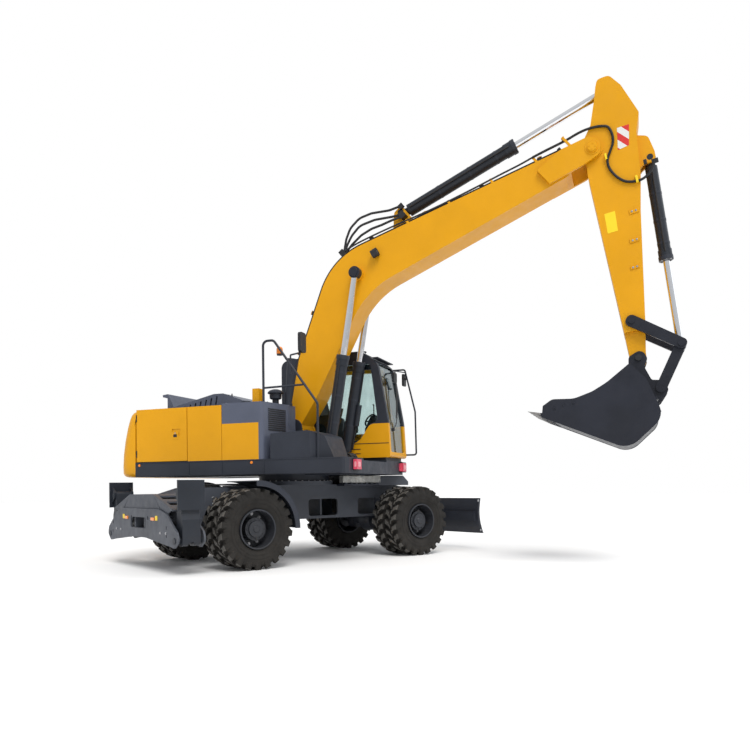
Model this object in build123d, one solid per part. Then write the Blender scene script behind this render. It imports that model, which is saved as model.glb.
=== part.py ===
from build123d import *
import os
from math import atan2, cos, degrees, hypot, radians, sin, tan

# Wheeled excavator, about 21 tonnes. Millimetres, +Z up. The origin is on the ground under the
# swing centre, +X points to the dozer blade at the front axle and +Y to the left.
# The upper structure is drawn straight ahead in its own frame and stands turned by SLEW.

# Clearances
HINGE_GAP = 0.5  # between cheeks that turn on each other
PIN_GAP = 0.4  # round a pin in its bore
SEAT_GAP = 0.3  # between pieces that are bolted on and don't move
RUN_GAP = 12.0  # between pieces that move past each other

# How the machine stands
SLEW = -58.6
DECK_BOTTOM = 1260.0
DECK_TOP = 1475.0

# Tyres and wheels
TYRE_RADIUS = 535.0
TYRE_WIDTH = 278.0
TWIN_SPACING = 320.0
TRACK_CENTRE = 940.0
RIM_RADIUS = 262.0
REAR_AXLE_X = -1330.0
FRONT_AXLE_X = 1540.0
HUB_RADIUS = 150.0
TYRE_SIDES = 30  # one lug on every second side, in turn left and right
LUG_DEPTH = 28.0
RIB_HALF = 15.0  # the rib round the middle of the tread

# Axles
AXLE_TUBE_RADIUS = 95.0
AXLE_CASE_RADIUS = 190.0
SPINDLE_RADIUS = 60.0
KINGPIN_Y = 560.0
KINGPIN_RADIUS = 38.0
KNUCKLE_RADIUS = 85.0

# Chassis
FRAME_HALF = 370.0
FRAME_TOP = 1090.0
FRAME_BOTTOM = 600.0
FRAME_REAR = -2080.0
FRAME_FRONT = 2060.0
PLATE = 25.0
RING_RADIUS = 600.0
RING_TOP = 1170.0

# Rear crossmember with the outriggers
REAR_PLATE_X = -2450.0
OUTRIGGER_X = -2265.0
OUTRIGGER_WIDTH = 235.0
OUTRIGGER_PIN_Y = 1165.0
OUTRIGGER_PIN_Z = 440.0
OUTRIGGER_PIN = 40.0
OUTRIGGER_LENGTH = 560.0
OUTRIGGER_DEPTH = 170.0
FOOT_LENGTH = 350.0
FOOT_HEIGHT = 370.0
OUTRIGGER_EYE_UP = 137.0
OUTRIGGER_EYE_IN = 211.0
OUTRIGGER_BASE_Y = 300.0
OUTRIGGER_BASE_Z = 700.0

# Tow clevis in the mouth of the rear plate
TOW_X = -2370.0
TOW_Y = 60.0
TOW_PIN = 20.5
TOW_LOW = 530.0
TOW_HIGH = 735.0
TOW_PLATE = 30.0

# Dozer blade
BLADE_HALF = 1250.0
BLADE_BOTTOM = 277.0
BLADE_TOP = 861.0
BLADE_PIN_X = 2180.0
BLADE_PIN_Z = 560.0
BLADE_ARM_Y = 255.0
BLADE_CYLINDER_Y = 120.0
BLADE_BASE_X = 2190.0
BLADE_BASE_Z = 1010.0
BLADE_EYE_X = 2640.0
BLADE_EYE_Z = 640.0

# Upper structure
UPPER_HALF = 1270.0
SKIRT_REAR = -1990.0
DECK_FRONT = 1366.0
TAIL_X = -2330.0
TAIL_BULGE = 130.0
PANEL_TOP = 2270.0
DOOR_SEAM = 14.0
DOOR_FRONT = -1080.0
TANK_REAR = -500.0
TANK_FRONT = 150.0
PANEL = 40.0
HOOD_REAR = -1900.0
HOOD_FRONT = -560.0
HOOD_HALF = 600.0
HOOD_LOW = 2361.0
HOOD_TOP = 2525.0
HOOD_LIP = 2566.0
HOOD_LOUVRES = 8
TANK_SPLIT = 1988.0
RAIL_Y = 300.0
HANDRAIL_Y = 75.0 - UPPER_HALF

# Cab
CAB_RIGHT = 428.0
CAB_LEFT = 1260.0
CAB_REAR = -420.0
CAB_FRONT = 1440.0
CAB_BOTTOM = 1525.0
CAB_TOP = 3190.0
CAB_WALL = 55.0
GLASS = 8.0
DOOR_REAR_X = -60.0
DOOR_FRONT_X = 850.0

# Boom, arm and bucket pins at rest, in the plane of the upper structure
BOOM_FOOT_X = 130.0
BOOM_FOOT_Z = 1970.0
BOOM_LENGTH = 5624.0
BOOM_ANGLE = 38.55
BOOM_HALF = 220.0
ARM_LENGTH = 2834.0
ARM_ANGLE = -79.59
ARM_HALF = 200.0
ARM_END_HALF = 140.0
BUCKET_ANGLE = -154.0
BUCKET_HALF = 560.0
BUCKET_PLATE = 28.0
EAR_IN = 235.0
EAR_OUT = 275.0
BOOM_BASE_X = 733.0
BOOM_BASE_Z = 1520.0
BOOM_CYLINDER_Y = 322.0
BOOM_SHARE = BOOM_LENGTH / 5624.0  # of the length at which its outline was measured
ARM_SHARE = ARM_LENGTH / 2834.0

# Hydraulic cylinders: barrel radius, rod radius
BOOM_BARREL = 84.0
BOOM_ROD = 47.0
ARM_BARREL = 90.0
ARM_ROD = 50.0
BUCKET_BARREL = 76.0
BUCKET_ROD = 43.0
SMALL_BARREL = 52.0
SMALL_ROD = 29.0



def block(x0, x1, y0, y1, z0, z1):
    """A box between two corners."""
    return Pos((x0 + x1) / 2, (y0 + y1) / 2, (z0 + z1) / 2) * Box(x1 - x0, y1 - y0, z1 - z0)


def outline(points):
    """A closed face of straight edges; a third number in a point rounds that corner."""
    rows = [(p[0], p[1], p[2] if len(p) > 2 else 0.0) for p in points]
    edges = []
    marks = []
    for i, (u, v, r) in enumerate(rows):
        before = Vector(rows[i - 1][0], rows[i - 1][1])
        after = Vector(rows[(i + 1) % len(rows)][0], rows[(i + 1) % len(rows)][1])
        here = Vector(u, v)
        if r <= 0:
            marks.append((here, here, None))
            continue
        to_before = (before - here).normalized()
        to_after = (after - here).normalized()
        half = radians(to_before.get_angle(to_after)) / 2
        reach = r / tan(half)
        middle = (to_before + to_after).normalized()
        crown = here + middle * (r / sin(half) - r)
        marks.append((here + to_before * reach, here + to_after * reach, crown))
    for i, (start, end, crown) in enumerate(marks):
        if crown is not None:
            edges.append(ThreePointArc(start, crown, end))
        onward = marks[(i + 1) % len(marks)][0]
        ahead = Vector(*rows[(i + 1) % len(rows)][:2]) - Vector(*rows[i][:2])
        if (onward - end).dot(ahead) < -0.01:
            raise ValueError(f"roundings meet after {rows[i]}")
        if (onward - end).length > 0.01:
            edges.append(Line(end, onward))
    return make_face(Wire(edges))


def inset(points, gap):
    """An outline with every edge moved inwards by a gap."""
    rows = [(p[0], p[1], p[2] if len(p) > 2 else 0.0) for p in points]
    area = sum(a[0] * b[1] - b[0] * a[1] for a, b in zip(rows, rows[1:] + rows[:1]))
    side = 1 if area > 0 else -1
    moved = []
    for i, (u, v, r) in enumerate(rows):
        before = rows[i - 1]
        after = rows[(i + 1) % len(rows)]
        back = Vector(u - before[0], v - before[1]).normalized()
        on = Vector(after[0] - u, after[1] - v).normalized()
        first = Vector(-back.Y, back.X) * side
        second = Vector(-on.Y, on.X) * side
        shift = (first + second) * (gap / (1 + first.dot(second)))
        moved.append((u + shift.X, v + shift.Y, max(r - gap, 0)))
    return moved


def slab_xz(points, y0, y1):
    """An outline in X and Z, thick from y0 to y1."""
    plane = Plane(origin=(0, y0, 0), x_dir=(1, 0, 0), z_dir=(0, -1, 0))
    return extrude(plane * outline(points), -(y1 - y0))


def slab_yz(points, x0, x1):
    """An outline in Y and Z, thick from x0 to x1."""
    plane = Plane(origin=(x0, 0, 0), x_dir=(0, 1, 0), z_dir=(1, 0, 0))
    return extrude(plane * outline(points), x1 - x0)


def slab_xy(points, z0, z1):
    """An outline in X and Y, thick from z0 to z1."""
    return extrude(Plane(origin=(0, 0, z0)) * outline(points), z1 - z0)


def bar(start, end, radius):
    """A round bar from one point to another."""
    a = Vector(*start)
    b = Vector(*end)
    plane = Plane(origin=a, z_dir=b - a)
    return plane * Cylinder(radius, (b - a).length, align=(Align.CENTER, Align.CENTER, Align.MIN))


def cross(x, z, radius, y0, y1):
    """A round bar along Y."""
    return bar((x, y0, z), (x, y1, z), radius)


def both(solid):
    """A piece and its mirror image on the other side."""
    return solid + mirror(solid, about=Plane.XZ)


def pipe(points, radius, bend):
    """A bent round tube through the points, with the same bend radius at each corner."""
    path = FilletPolyline(*points, radius=bend)
    first = Vector(*points[1]) - Vector(*points[0])
    plane = Plane(origin=points[0], z_dir=first)
    return sweep(plane * Circle(radius), path=path)


def at(pin, angle):
    """The place of a link drawn from its pin along X."""
    return Pos(pin[0], 0, pin[1]) * Rot(0, -angle, 0)


def reach(pin, angle, s, h):
    """A link's own point (s along it, h to its left) in the upper structure's plane."""
    a = radians(angle)
    return (pin[0] + s * cos(a) - h * sin(a), pin[1] + s * sin(a) + h * cos(a))


BOOM_FOOT = (BOOM_FOOT_X, BOOM_FOOT_Z)
BOOM_TIP = reach(BOOM_FOOT, BOOM_ANGLE, BOOM_LENGTH, 0)
BUCKET_PIN = reach(BOOM_TIP, ARM_ANGLE, ARM_LENGTH, 0)
BOOM_CYLINDER_BASE = (BOOM_BASE_X, BOOM_BASE_Z)

# Pins on the boom, the arm and the bucket, each in its own link's frame
BOOM_EYE_S = 2222.0 * BOOM_SHARE
BOOM_EYE_H = 1087.0
ARM_BASE_S = 3268.0 * BOOM_SHARE
ARM_BASE_H = 1373.0
ARM_EYE_S = -799.0 * ARM_SHARE
ARM_EYE_H = 299.0
BUCKET_BASE_S = 299.0 * ARM_SHARE
BUCKET_BASE_H = 659.0
ROCKER_S = ARM_LENGTH - 481.0
ROCKER_H = 13.0
ROCKER_LENGTH = 672.0
ROCKER_ANGLE = -29.7
LUG_S = -66.0
LUG_H = 473.0

BOOM_EYE = reach(BOOM_FOOT, BOOM_ANGLE, BOOM_EYE_S, BOOM_EYE_H)
ARM_BASE = reach(BOOM_FOOT, BOOM_ANGLE, ARM_BASE_S, ARM_BASE_H)
ARM_EYE = reach(BOOM_TIP, ARM_ANGLE, ARM_EYE_S, ARM_EYE_H)
BUCKET_BASE = reach(BOOM_TIP, ARM_ANGLE, BUCKET_BASE_S, BUCKET_BASE_H)
ROCKER_PIN = reach(BOOM_TIP, ARM_ANGLE, ROCKER_S, ROCKER_H)
ROCKER_END = reach(ROCKER_PIN, ROCKER_ANGLE, ROCKER_LENGTH, 0)
LINK_END = reach(BUCKET_PIN, BUCKET_ANGLE, LUG_S, LUG_H)
LINK_LENGTH = hypot(LINK_END[0] - ROCKER_END[0], LINK_END[1] - ROCKER_END[1])
LINK_ANGLE = degrees(atan2(LINK_END[1] - ROCKER_END[1], LINK_END[0] - ROCKER_END[0]))


def corner(i, sides, point):
    """A (y, radius) point on the i-th of the corners round the Y axis, with a flat side at the bottom."""
    y, r = point
    turn = radians(360 * (i + (0.5 if sides % 4 == 0 else 0)) / sides)
    out = r / cos(radians(180 / sides))
    return Vector(out * cos(turn), y, out * sin(turn))


def facet(i, sides, here, there):
    """One flat facet between two profile points."""
    near, far = [[corner(k, sides, point) for point in (here, there)] for k in (i, i + 1)]
    loop = near + far[::-1]
    return Face(Wire.make_polygon(loop, close=True))


def ring(profile, sides):
    """A closed profile of (y, radius) points carried round the Y axis in flat facets."""
    faces = []
    for i in range(sides):
        for j, here in enumerate(profile):
            faces.append(facet(i, sides, here, profile[(j + 1) % len(profile)]))
    return Solid(Shell(faces))


# Undercarriage

def chassis_frame():
    side = [
        (FRAME_REAR, 1000), (FRAME_REAR + 300, FRAME_TOP), (1700, FRAME_TOP),
        (FRAME_FRONT, 1040), (FRAME_FRONT, 470), (1900, 470), (1790, 790, 60),
        (1420, 790, 60), (1400, FRAME_BOTTOM, 40), (-880, FRAME_BOTTOM, 40),
        (-1010, 790, 60), (-1650, 790, 60), (-1780, 470), (FRAME_REAR, 470),
    ]
    frame = slab_xz(side, -FRAME_HALF, FRAME_HALF)
    inner = FRAME_HALF - PLATE
    wells = [(-860, 250), (275, 1300)]
    for x0, x1 in wells:
        frame -= block(x0, x1, -inner, inner, FRAME_BOTTOM + PLATE, FRAME_TOP - PLATE)
    frame -= block(-1000, -885, -inner, inner, 815, FRAME_TOP - PLATE)
    frame -= block(1325, 1480, -inner, inner, FRAME_BOTTOM - 1, 790)
    windows = [(20, 560), (955, 1370)]
    for x0, x1 in windows:
        window = [(x0, 640, 45), (x0, 895, 45), (x1, 895, 45), (x1, 640, 45)]
        frame -= slab_xz(window, -FRAME_HALF - 1, -inner + 1)
        frame -= slab_xz(window, inner - 1, FRAME_HALF + 1)
    deck = [(-1000, -450), (-1000, 450), (1600, 450), (1720, 330), (1720, -330), (1600, -450)]
    frame += slab_xy(deck, FRAME_TOP, FRAME_TOP + PLATE)
    frame += Pos(0, 0, FRAME_TOP + PLATE) * Cylinder(
        RING_RADIUS, RING_TOP - FRAME_TOP - PLATE, align=(Align.CENTER, Align.CENTER, Align.MIN)
    )
    lug = [
        (FRAME_FRONT - 5, BLADE_PIN_Z - 95), (FRAME_FRONT - 5, BLADE_PIN_Z + 95),
        (BLADE_PIN_X, BLADE_PIN_Z + 75), (BLADE_PIN_X + 75, BLADE_PIN_Z + 40, 40),
        (BLADE_PIN_X + 75, BLADE_PIN_Z - 40, 40), (BLADE_PIN_X, BLADE_PIN_Z - 75),
    ]
    top_lug = [
        (FRAME_FRONT - 5, BLADE_BASE_Z - 90), (FRAME_FRONT - 5, BLADE_BASE_Z + 60),
        (BLADE_BASE_X, BLADE_BASE_Z + 50), (BLADE_BASE_X + 50, BLADE_BASE_Z + 10, 30),
        (BLADE_BASE_X + 50, BLADE_BASE_Z - 40, 30),
    ]
    cheeks = [(lug, BLADE_ARM_Y, 30, (BLADE_PIN_X, BLADE_PIN_Z), 32),
              (top_lug, BLADE_CYLINDER_Y, 32, (BLADE_BASE_X, BLADE_BASE_Z), 25)]
    for shape, y, half, pin, radius in cheeks:
        for low in (y - half - HINGE_GAP - PLATE, y + half + HINGE_GAP):
            frame += both(slab_xz(shape, low, low + PLATE))
        frame -= cross(pin[0], pin[1], radius + PIN_GAP, -FRAME_HALF, FRAME_HALF)
    return frame


def rear_crossmember():
    half = [
        (650, 822), (918, 761), (1086, 640), (1230, 545, 50), (1275, 440, 60), (1150, 345, 60),
        (1040, 362), (222, 439),
    ]
    outline_yz = [(-y, z, *r) for y, z, *r in half] + [(y, z, *r) for y, z, *r in reversed(half)]
    back = slab_yz(outline_yz, REAR_PLATE_X, REAR_PLATE_X + PLATE)
    tall = [
        (430, 1010), (1040, 822), (1086, 640), (1230, 545, 50), (1275, 440, 60), (1150, 345, 60), (1040, 362),
        (222, 439),
    ]
    tall_yz = [(-y, z, *r) for y, z, *r in tall] + [(y, z, *r) for y, z, *r in reversed(tall)]
    front = slab_yz(tall_yz, FRAME_REAR - SEAT_GAP - PLATE, FRAME_REAR - SEAT_GAP)
    mouth = [(-215, 560, 20), (-215, 705, 20), (335, 705, 20), (335, 560, 20)]
    back -= slab_yz(mouth, REAR_PLATE_X - 1, REAR_PLATE_X + PLATE + 1)
    slots = [(1040, 609), (1060, 482), (-914, 590), (-912, 488)]
    for y, z in slots:
        slot = [(y + u, z + v, 13) for u, v in ((-14, -24), (-14, 24), (14, 24), (14, -24))]
        back -= slab_yz(slot, REAR_PLATE_X - 1, REAR_PLATE_X + PLATE + 1)
    body = back + front
    x0 = REAR_PLATE_X + PLATE
    x1 = FRAME_REAR - SEAT_GAP - PLATE
    body += block(x0, x1, -600, 600, 445, 445 + PLATE)
    for y in (TOW_Y - 160 - PLATE, TOW_Y + 160):
        body += block(x0, x1, y, y + PLATE, 470, 986)
    cover = [
        (-1040, 800), (-430, 985), (430, 985), (1040, 800), (1040, 822), (430, 1010), (-430, 1010),
        (-1040, 822),
    ]
    lid = slab_yz(cover, x0, x1)
    for y in (560, 800):
        slot = [
            (x0 + 50, y - 70, 20), (x1 - 50, y - 70, 20), (x1 - 50, y + 70, 20), (x0 + 50, y + 70, 20),
        ]
        lid -= slab_xy(slot, 700, 1100)
        lid -= slab_xy([(x, -y2, r) for x, y2, r in slot], 700, 1100)
    body += lid
    for low in (TOW_LOW, TOW_HIGH - TOW_PLATE):
        body += block(x0 - 1, TOW_X + 170, TOW_Y - 160, TOW_Y + 160, low, low + TOW_PLATE)
    body -= Pos(TOW_X, TOW_Y, TOW_LOW) * Cylinder(TOW_PIN, 2 * TOW_PLATE)
    body -= Pos(TOW_X, TOW_Y, TOW_HIGH) * Cylinder(TOW_PIN, 2 * TOW_PLATE)
    body -= Pos(TOW_X, TOW_Y, 1000) * Cylinder(TOW_PIN + 10, 200)
    for y in (-OUTRIGGER_PIN_Y, OUTRIGGER_PIN_Y):
        end = (FRAME_REAR, y, OUTRIGGER_PIN_Z)
        body -= bar((REAR_PLATE_X - 1, y, OUTRIGGER_PIN_Z), end, OUTRIGGER_PIN + PIN_GAP)
    for y in (-OUTRIGGER_BASE_Y, OUTRIGGER_BASE_Y):
        end = (FRAME_REAR, y, OUTRIGGER_BASE_Z)
        body -= bar((REAR_PLATE_X - 1, y, OUTRIGGER_BASE_Z), end, 25 + PIN_GAP)
    return body


def rear_axle():
    tube = bar((REAR_AXLE_X, -640, TYRE_RADIUS), (REAR_AXLE_X, 640, TYRE_RADIUS), AXLE_TUBE_RADIUS)
    case = bar((REAR_AXLE_X, -150, TYRE_RADIUS), (REAR_AXLE_X, 150, TYRE_RADIUS), AXLE_CASE_RADIUS)
    spindle = bar((REAR_AXLE_X, -1080, TYRE_RADIUS), (REAR_AXLE_X, 1080, TYRE_RADIUS), SPINDLE_RADIUS)
    pad = block(REAR_AXLE_X - 120, REAR_AXLE_X + 120, 240, 345, TYRE_RADIUS, 790 - SEAT_GAP)
    return tube + case + spindle + both(pad)


def front_axle():
    end = KINGPIN_Y - KNUCKLE_RADIUS - 30
    axle = bar((FRONT_AXLE_X, -end, TYRE_RADIUS), (FRONT_AXLE_X, end, TYRE_RADIUS), AXLE_TUBE_RADIUS)
    axle += bar((FRONT_AXLE_X, -140, TYRE_RADIUS), (FRONT_AXLE_X, 140, TYRE_RADIUS), AXLE_CASE_RADIUS)
    axle += block(FRONT_AXLE_X - 90, FRONT_AXLE_X + 90, -70, 70, TYRE_RADIUS, 790 - SEAT_GAP)
    for z0 in (-150, 100):
        low = TYRE_RADIUS + z0
        ear = block(FRONT_AXLE_X - 62, FRONT_AXLE_X + 62, end - 40, KINGPIN_Y, low, low + 50)
        ear += Pos(FRONT_AXLE_X, KINGPIN_Y, low + 25) * Cylinder(62, 50)
        axle += both(ear)
    post = block(FRONT_AXLE_X - 62, FRONT_AXLE_X + 62, end - 60, end, TYRE_RADIUS - 150, TYRE_RADIUS + 150)
    axle += both(post)
    for y in (-KINGPIN_Y, KINGPIN_Y):
        axle -= Pos(FRONT_AXLE_X, y, TYRE_RADIUS) * Cylinder(KINGPIN_RADIUS + PIN_GAP, 400)
    return axle


def knuckle(side):
    y = side * KINGPIN_Y
    body = Pos(FRONT_AXLE_X, y, TYRE_RADIUS) * Cylinder(KNUCKLE_RADIUS, 200 - 2 * HINGE_GAP)
    body += Pos(FRONT_AXLE_X, y, TYRE_RADIUS) * Cylinder(KINGPIN_RADIUS, 300)
    body += bar((FRONT_AXLE_X, y, TYRE_RADIUS), (FRONT_AXLE_X, side * 1080, TYRE_RADIUS), SPINDLE_RADIUS)
    arm = [(0, 30), (-210, -10, 25), (-210, -60, 25), (0, -60)]
    body += Pos(FRONT_AXLE_X, y, 0) * slab_xy([(u, side * -v, *r) for u, v, *r in arm], 545, 585)
    return body


BEAD = (100.0, RIM_RADIUS + SEAT_GAP)
WALL = (TYRE_WIDTH / 2, 430.0)
LUG_ROOT = (118.0, TYRE_RADIUS - LUG_DEPTH)
LUG_EDGE = (110.0, TYRE_RADIUS)


def lugged_tyre():
    """A tyre about Y in flat facets: a rib round its middle and lugs in two staggered rows."""
    rib_top = (RIB_HALF, TYRE_RADIUS)
    rib_foot = (RIB_HALF, TYRE_RADIUS - LUG_DEPTH)

    def on(side, point):
        return (side * point[0], point[1])

    faces = []
    for i in range(TYRE_SIDES):
        raised = 1 if i % 2 == 0 else -1
        faces.append(facet(i, TYRE_SIDES, on(-1, BEAD), BEAD))
        faces.append(facet(i, TYRE_SIDES, on(-1, rib_top), rib_top))
        for side in (-1, 1):
            run = [BEAD, WALL, LUG_ROOT]
            run += [LUG_EDGE, rib_top] if side == raised else [rib_foot, rib_top]
            for here, there in zip(run, run[1:]):
                faces.append(facet(i, TYRE_SIDES, on(side, here), on(side, there)))
            wall = [on(side, point) for point in (LUG_ROOT, LUG_EDGE, rib_top, rib_foot)]
            loop = [corner(i, TYRE_SIDES, point) for point in wall]
            faces.append(Face(Wire.make_polygon(loop, close=True)))
    return Solid(Shell(faces))


def tyre_pair():
    tyre = lugged_tyre()
    return Pos(0, -TWIN_SPACING / 2, 0) * tyre + Pos(0, TWIN_SPACING / 2, 0) * tyre


def rim():
    """Both rims on one hub, about Y, with the outside of the machine towards +Y."""
    wide = TWIN_SPACING / 2 + 135
    band = [(-wide, RIM_RADIUS), (wide, RIM_RADIUS), (wide, RIM_RADIUS - 18), (-wide, RIM_RADIUS - 18)]
    web = bar((0, 40, 0), (0, 64, 0), RIM_RADIUS - 5)
    drum = bar((0, -200, 0), (0, 215, 0), HUB_RADIUS)
    cap = bar((0, 215, 0), (0, 240, 0), HUB_RADIUS - 45)
    bore = bar((0, -201, 0), (0, 145, 0), SPINDLE_RADIUS + PIN_GAP)
    return ring(band, TYRE_SIDES) + web + drum + cap - bore


def blade():
    back = [
        (2850, BLADE_TOP), (2800, 560, 700), (2905, BLADE_BOTTOM), (2870, BLADE_BOTTOM), (2760, 560, 700),
        (2815, BLADE_TOP),
    ]
    board = slab_xz(back, -BLADE_HALF, BLADE_HALF)
    board += block(2745, 2830, -BLADE_HALF + 60, BLADE_HALF - 60, 480, 640)
    lever = [
        (BLADE_PIN_X - 62, BLADE_PIN_Z, 60), (BLADE_PIN_X, BLADE_PIN_Z + 66, 60), (2760, 640), (2760, 480),
        (BLADE_PIN_X, BLADE_PIN_Z - 66, 60),
    ]
    board += both(slab_xz(lever, BLADE_ARM_Y - 30, BLADE_ARM_Y + 30))
    board += both(cross(BLADE_PIN_X, BLADE_PIN_Z, 32, BLADE_ARM_Y - 56, BLADE_ARM_Y + 56))
    board += block(2400, 2460, -BLADE_ARM_Y, BLADE_ARM_Y, 520, 600)
    ear = [
        (BLADE_EYE_X - 50, BLADE_EYE_Z - 30, 30), (BLADE_EYE_X - 50, BLADE_EYE_Z + 50, 30), (2790, 700),
        (2790, 560),
    ]
    for low in (BLADE_CYLINDER_Y - 32 - HINGE_GAP - PLATE, BLADE_CYLINDER_Y + 32 + HINGE_GAP):
        board += both(slab_xz(ear, low, low + PLATE))
    return board


def barrel(base, eye, radius, rod_radius, length, eye_radius, half, pin_radius, pin_reach):
    """A cylinder's barrel in its own plane: its base eye and pin, its tube and its head."""
    run = (Vector(eye[0], 0, eye[1]) - Vector(base[0], 0, base[1])).normalized()
    start = Vector(base[0], 0, base[1])
    body = cross(base[0], base[1], eye_radius, -half, half)
    body += bar(start, start + run * (eye_radius + 40), half * 0.94)
    body += bar(start + run * (eye_radius + 30), start + run * length, radius)
    body += bar(start + run * (length - radius * 1.5), start + run * (length + 25), radius + 9)
    body += cross(base[0], base[1], pin_radius, -pin_reach, pin_reach)
    body -= bar(start + run * (eye_radius + 50), start + run * (length + 26), rod_radius + HINGE_GAP)
    return body


def span(base, eye):
    """How far two pins stand apart."""
    return hypot(eye[0] - base[0], eye[1] - base[1])


def rod(base, eye, rod_radius, length, insert, eye_radius, half):
    """A cylinder's rod: its eye, and the bar that reaches into the barrel."""
    run = (Vector(eye[0], 0, eye[1]) - Vector(base[0], 0, base[1])).normalized()
    start = Vector(base[0], 0, base[1])
    end = Vector(eye[0], 0, eye[1])
    body = cross(eye[0], eye[1], eye_radius, -half, half)
    body += bar(start + run * (length - insert), end - run * (eye_radius * 0.5), rod_radius)
    return body


BLADE_BASE = (BLADE_BASE_X, BLADE_BASE_Z)
BLADE_EYE = (BLADE_EYE_X, BLADE_EYE_Z)


def blade_barrels():
    one = barrel(BLADE_BASE, BLADE_EYE, SMALL_BARREL, SMALL_ROD, 400, 48, 32, 25, 55)
    return both(Pos(0, BLADE_CYLINDER_Y, 0) * one)


def blade_rods():
    one = rod(BLADE_BASE, BLADE_EYE, SMALL_ROD, 400, 190, 45, 32)
    return both(Pos(0, BLADE_CYLINDER_Y, 0) * one)


def outrigger_leg(side):
    """A folded-up outrigger leg: a box beam on its pin at the foot of the rear crossmember."""
    y = OUTRIGGER_PIN_Y
    z = OUTRIGGER_PIN_Z
    half = OUTRIGGER_DEPTH / 2
    beam = [
        (y - half, z, half * 0.9), (y - half, z + 400), (y - 52, z + OUTRIGGER_LENGTH + 52, 50),
        (y + 52, z + OUTRIGGER_LENGTH + 52, 50), (y + 52, z + 330), (y + half, z + 260),
        (y + half, z - half * 0.8, half * 0.7), (y - half * 0.6, z - half * 0.8, half * 0.5),
    ]
    x0 = OUTRIGGER_X - OUTRIGGER_WIDTH / 2
    x1 = OUTRIGGER_X + OUTRIGGER_WIDTH / 2
    leg = slab_yz(beam, x0, x1)
    hub = OUTRIGGER_PIN + 3
    fork = block(OUTRIGGER_X - 34, OUTRIGGER_X + 34, y - half - 1, y - 16, z - 110, z + 320)
    fork += block(OUTRIGGER_X - 34, OUTRIGGER_X + 34, y - half - 1, y + half + 1, z - 110, z - 20)
    leg -= fork - bar((OUTRIGGER_X - 35, y, z), (OUTRIGGER_X + 35, y, z), hub)
    ear = [
        (y - half + 5, z + OUTRIGGER_EYE_UP - 100), (y - OUTRIGGER_EYE_IN - 48, z + OUTRIGGER_EYE_UP - 40, 30),
        (y - OUTRIGGER_EYE_IN - 48, z + OUTRIGGER_EYE_UP + 40, 30), (y - half + 5, z + OUTRIGGER_EYE_UP + 130),
    ]
    for low in (OUTRIGGER_X - 32 - HINGE_GAP - PLATE, OUTRIGGER_X + 32 + HINGE_GAP):
        leg += slab_yz(ear, low, low + PLATE)
    leg += bar((REAR_PLATE_X - 10, y, z), (FRAME_REAR - SEAT_GAP - 5, y, z), OUTRIGGER_PIN)
    tip = (x0 - 30, y, z + OUTRIGGER_LENGTH)
    leg += bar(tip, (x1 + 30, y, z + OUTRIGGER_LENGTH), 28)
    return leg if side > 0 else mirror(leg, about=Plane.XZ)


def outrigger_foot(side):
    """The foot plate with its two cheeks, pinned to the tip of the leg."""
    y = OUTRIGGER_PIN_Y
    z = OUTRIGGER_PIN_Z + OUTRIGGER_LENGTH
    wide = OUTRIGGER_WIDTH / 2
    plate = [
        (y + 62, z - FOOT_HEIGHT / 2), (y + 62, z + FOOT_HEIGHT / 2), (y + 85, z + FOOT_HEIGHT / 2),
        (y + 85, z - FOOT_HEIGHT / 2),
    ]
    foot = slab_yz(plate, OUTRIGGER_X - FOOT_LENGTH / 2, OUTRIGGER_X + FOOT_LENGTH / 2)
    cheek = [(y - 45, z - 45, 40), (y - 45, z + 45, 40), (y + 63, z + 120), (y + 63, z - 120)]
    for low in (OUTRIGGER_X - wide - HINGE_GAP - PLATE, OUTRIGGER_X + wide + HINGE_GAP):
        foot += slab_yz(cheek, low, low + PLATE)
    foot -= bar((OUTRIGGER_X - 200, y, z), (OUTRIGGER_X + 200, y, z), 28 + PIN_GAP)
    return foot if side > 0 else mirror(foot, about=Plane.XZ)


OUTRIGGER_BASE = (OUTRIGGER_BASE_Y, OUTRIGGER_BASE_Z)
OUTRIGGER_EYE = (OUTRIGGER_PIN_Y - OUTRIGGER_EYE_IN, OUTRIGGER_PIN_Z + OUTRIGGER_EYE_UP)


def across(solid, side):
    """Turns a piece drawn along X to lie across the machine, at the outriggers."""
    turned = Pos(OUTRIGGER_X, 0, 0) * Rot(0, 0, 90) * solid
    return turned if side > 0 else mirror(turned, about=Plane.XZ)


def outrigger_barrel(side):
    one = barrel(OUTRIGGER_BASE, OUTRIGGER_EYE, SMALL_BARREL, SMALL_ROD, 588, 48, 32, 25, 178)
    return across(one, side)


def outrigger_rod(side):
    return across(rod(OUTRIGGER_BASE, OUTRIGGER_EYE, SMALL_ROD, 588, 485, 42, 32), side)


def mudguards():
    """A quarter-round guard ahead of each pair of rear wheels, and the tread step on the right."""
    outer = TYRE_RADIUS + 105
    inner = outer - 14
    centre = Pos(REAR_AXLE_X, 0, TYRE_RADIUS)
    sweep_out = centre * bar((0, 400, 0), (0, 1245, 0), outer)
    sweep_in = centre * bar((0, 399, 0), (0, 1233, 0), inner)
    keep = block(REAR_AXLE_X - 20, REAR_AXLE_X + outer + 1, FRAME_HALF, 1300, TYRE_RADIUS - 10, 1300)
    guard = (sweep_out - sweep_in) & keep
    guard -= centre * bar((0, 1200, 0), (0, 1250, 0), TYRE_RADIUS + 30)
    guard += block(-880, -780, FRAME_HALF + SEAT_GAP, FRAME_HALF + 35, 880, 1000)
    step = block(500, 1180, -640, -450 - SEAT_GAP, FRAME_TOP, FRAME_TOP + 30)
    for x in (520, 620, 720, 820, 920, 1020, 1120):
        step += block(x, x + 40, -640, -450 - SEAT_GAP, FRAME_TOP + 29, FRAME_TOP + 48)
    return both(guard) + step


# Upper structure, drawn straight ahead

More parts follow.
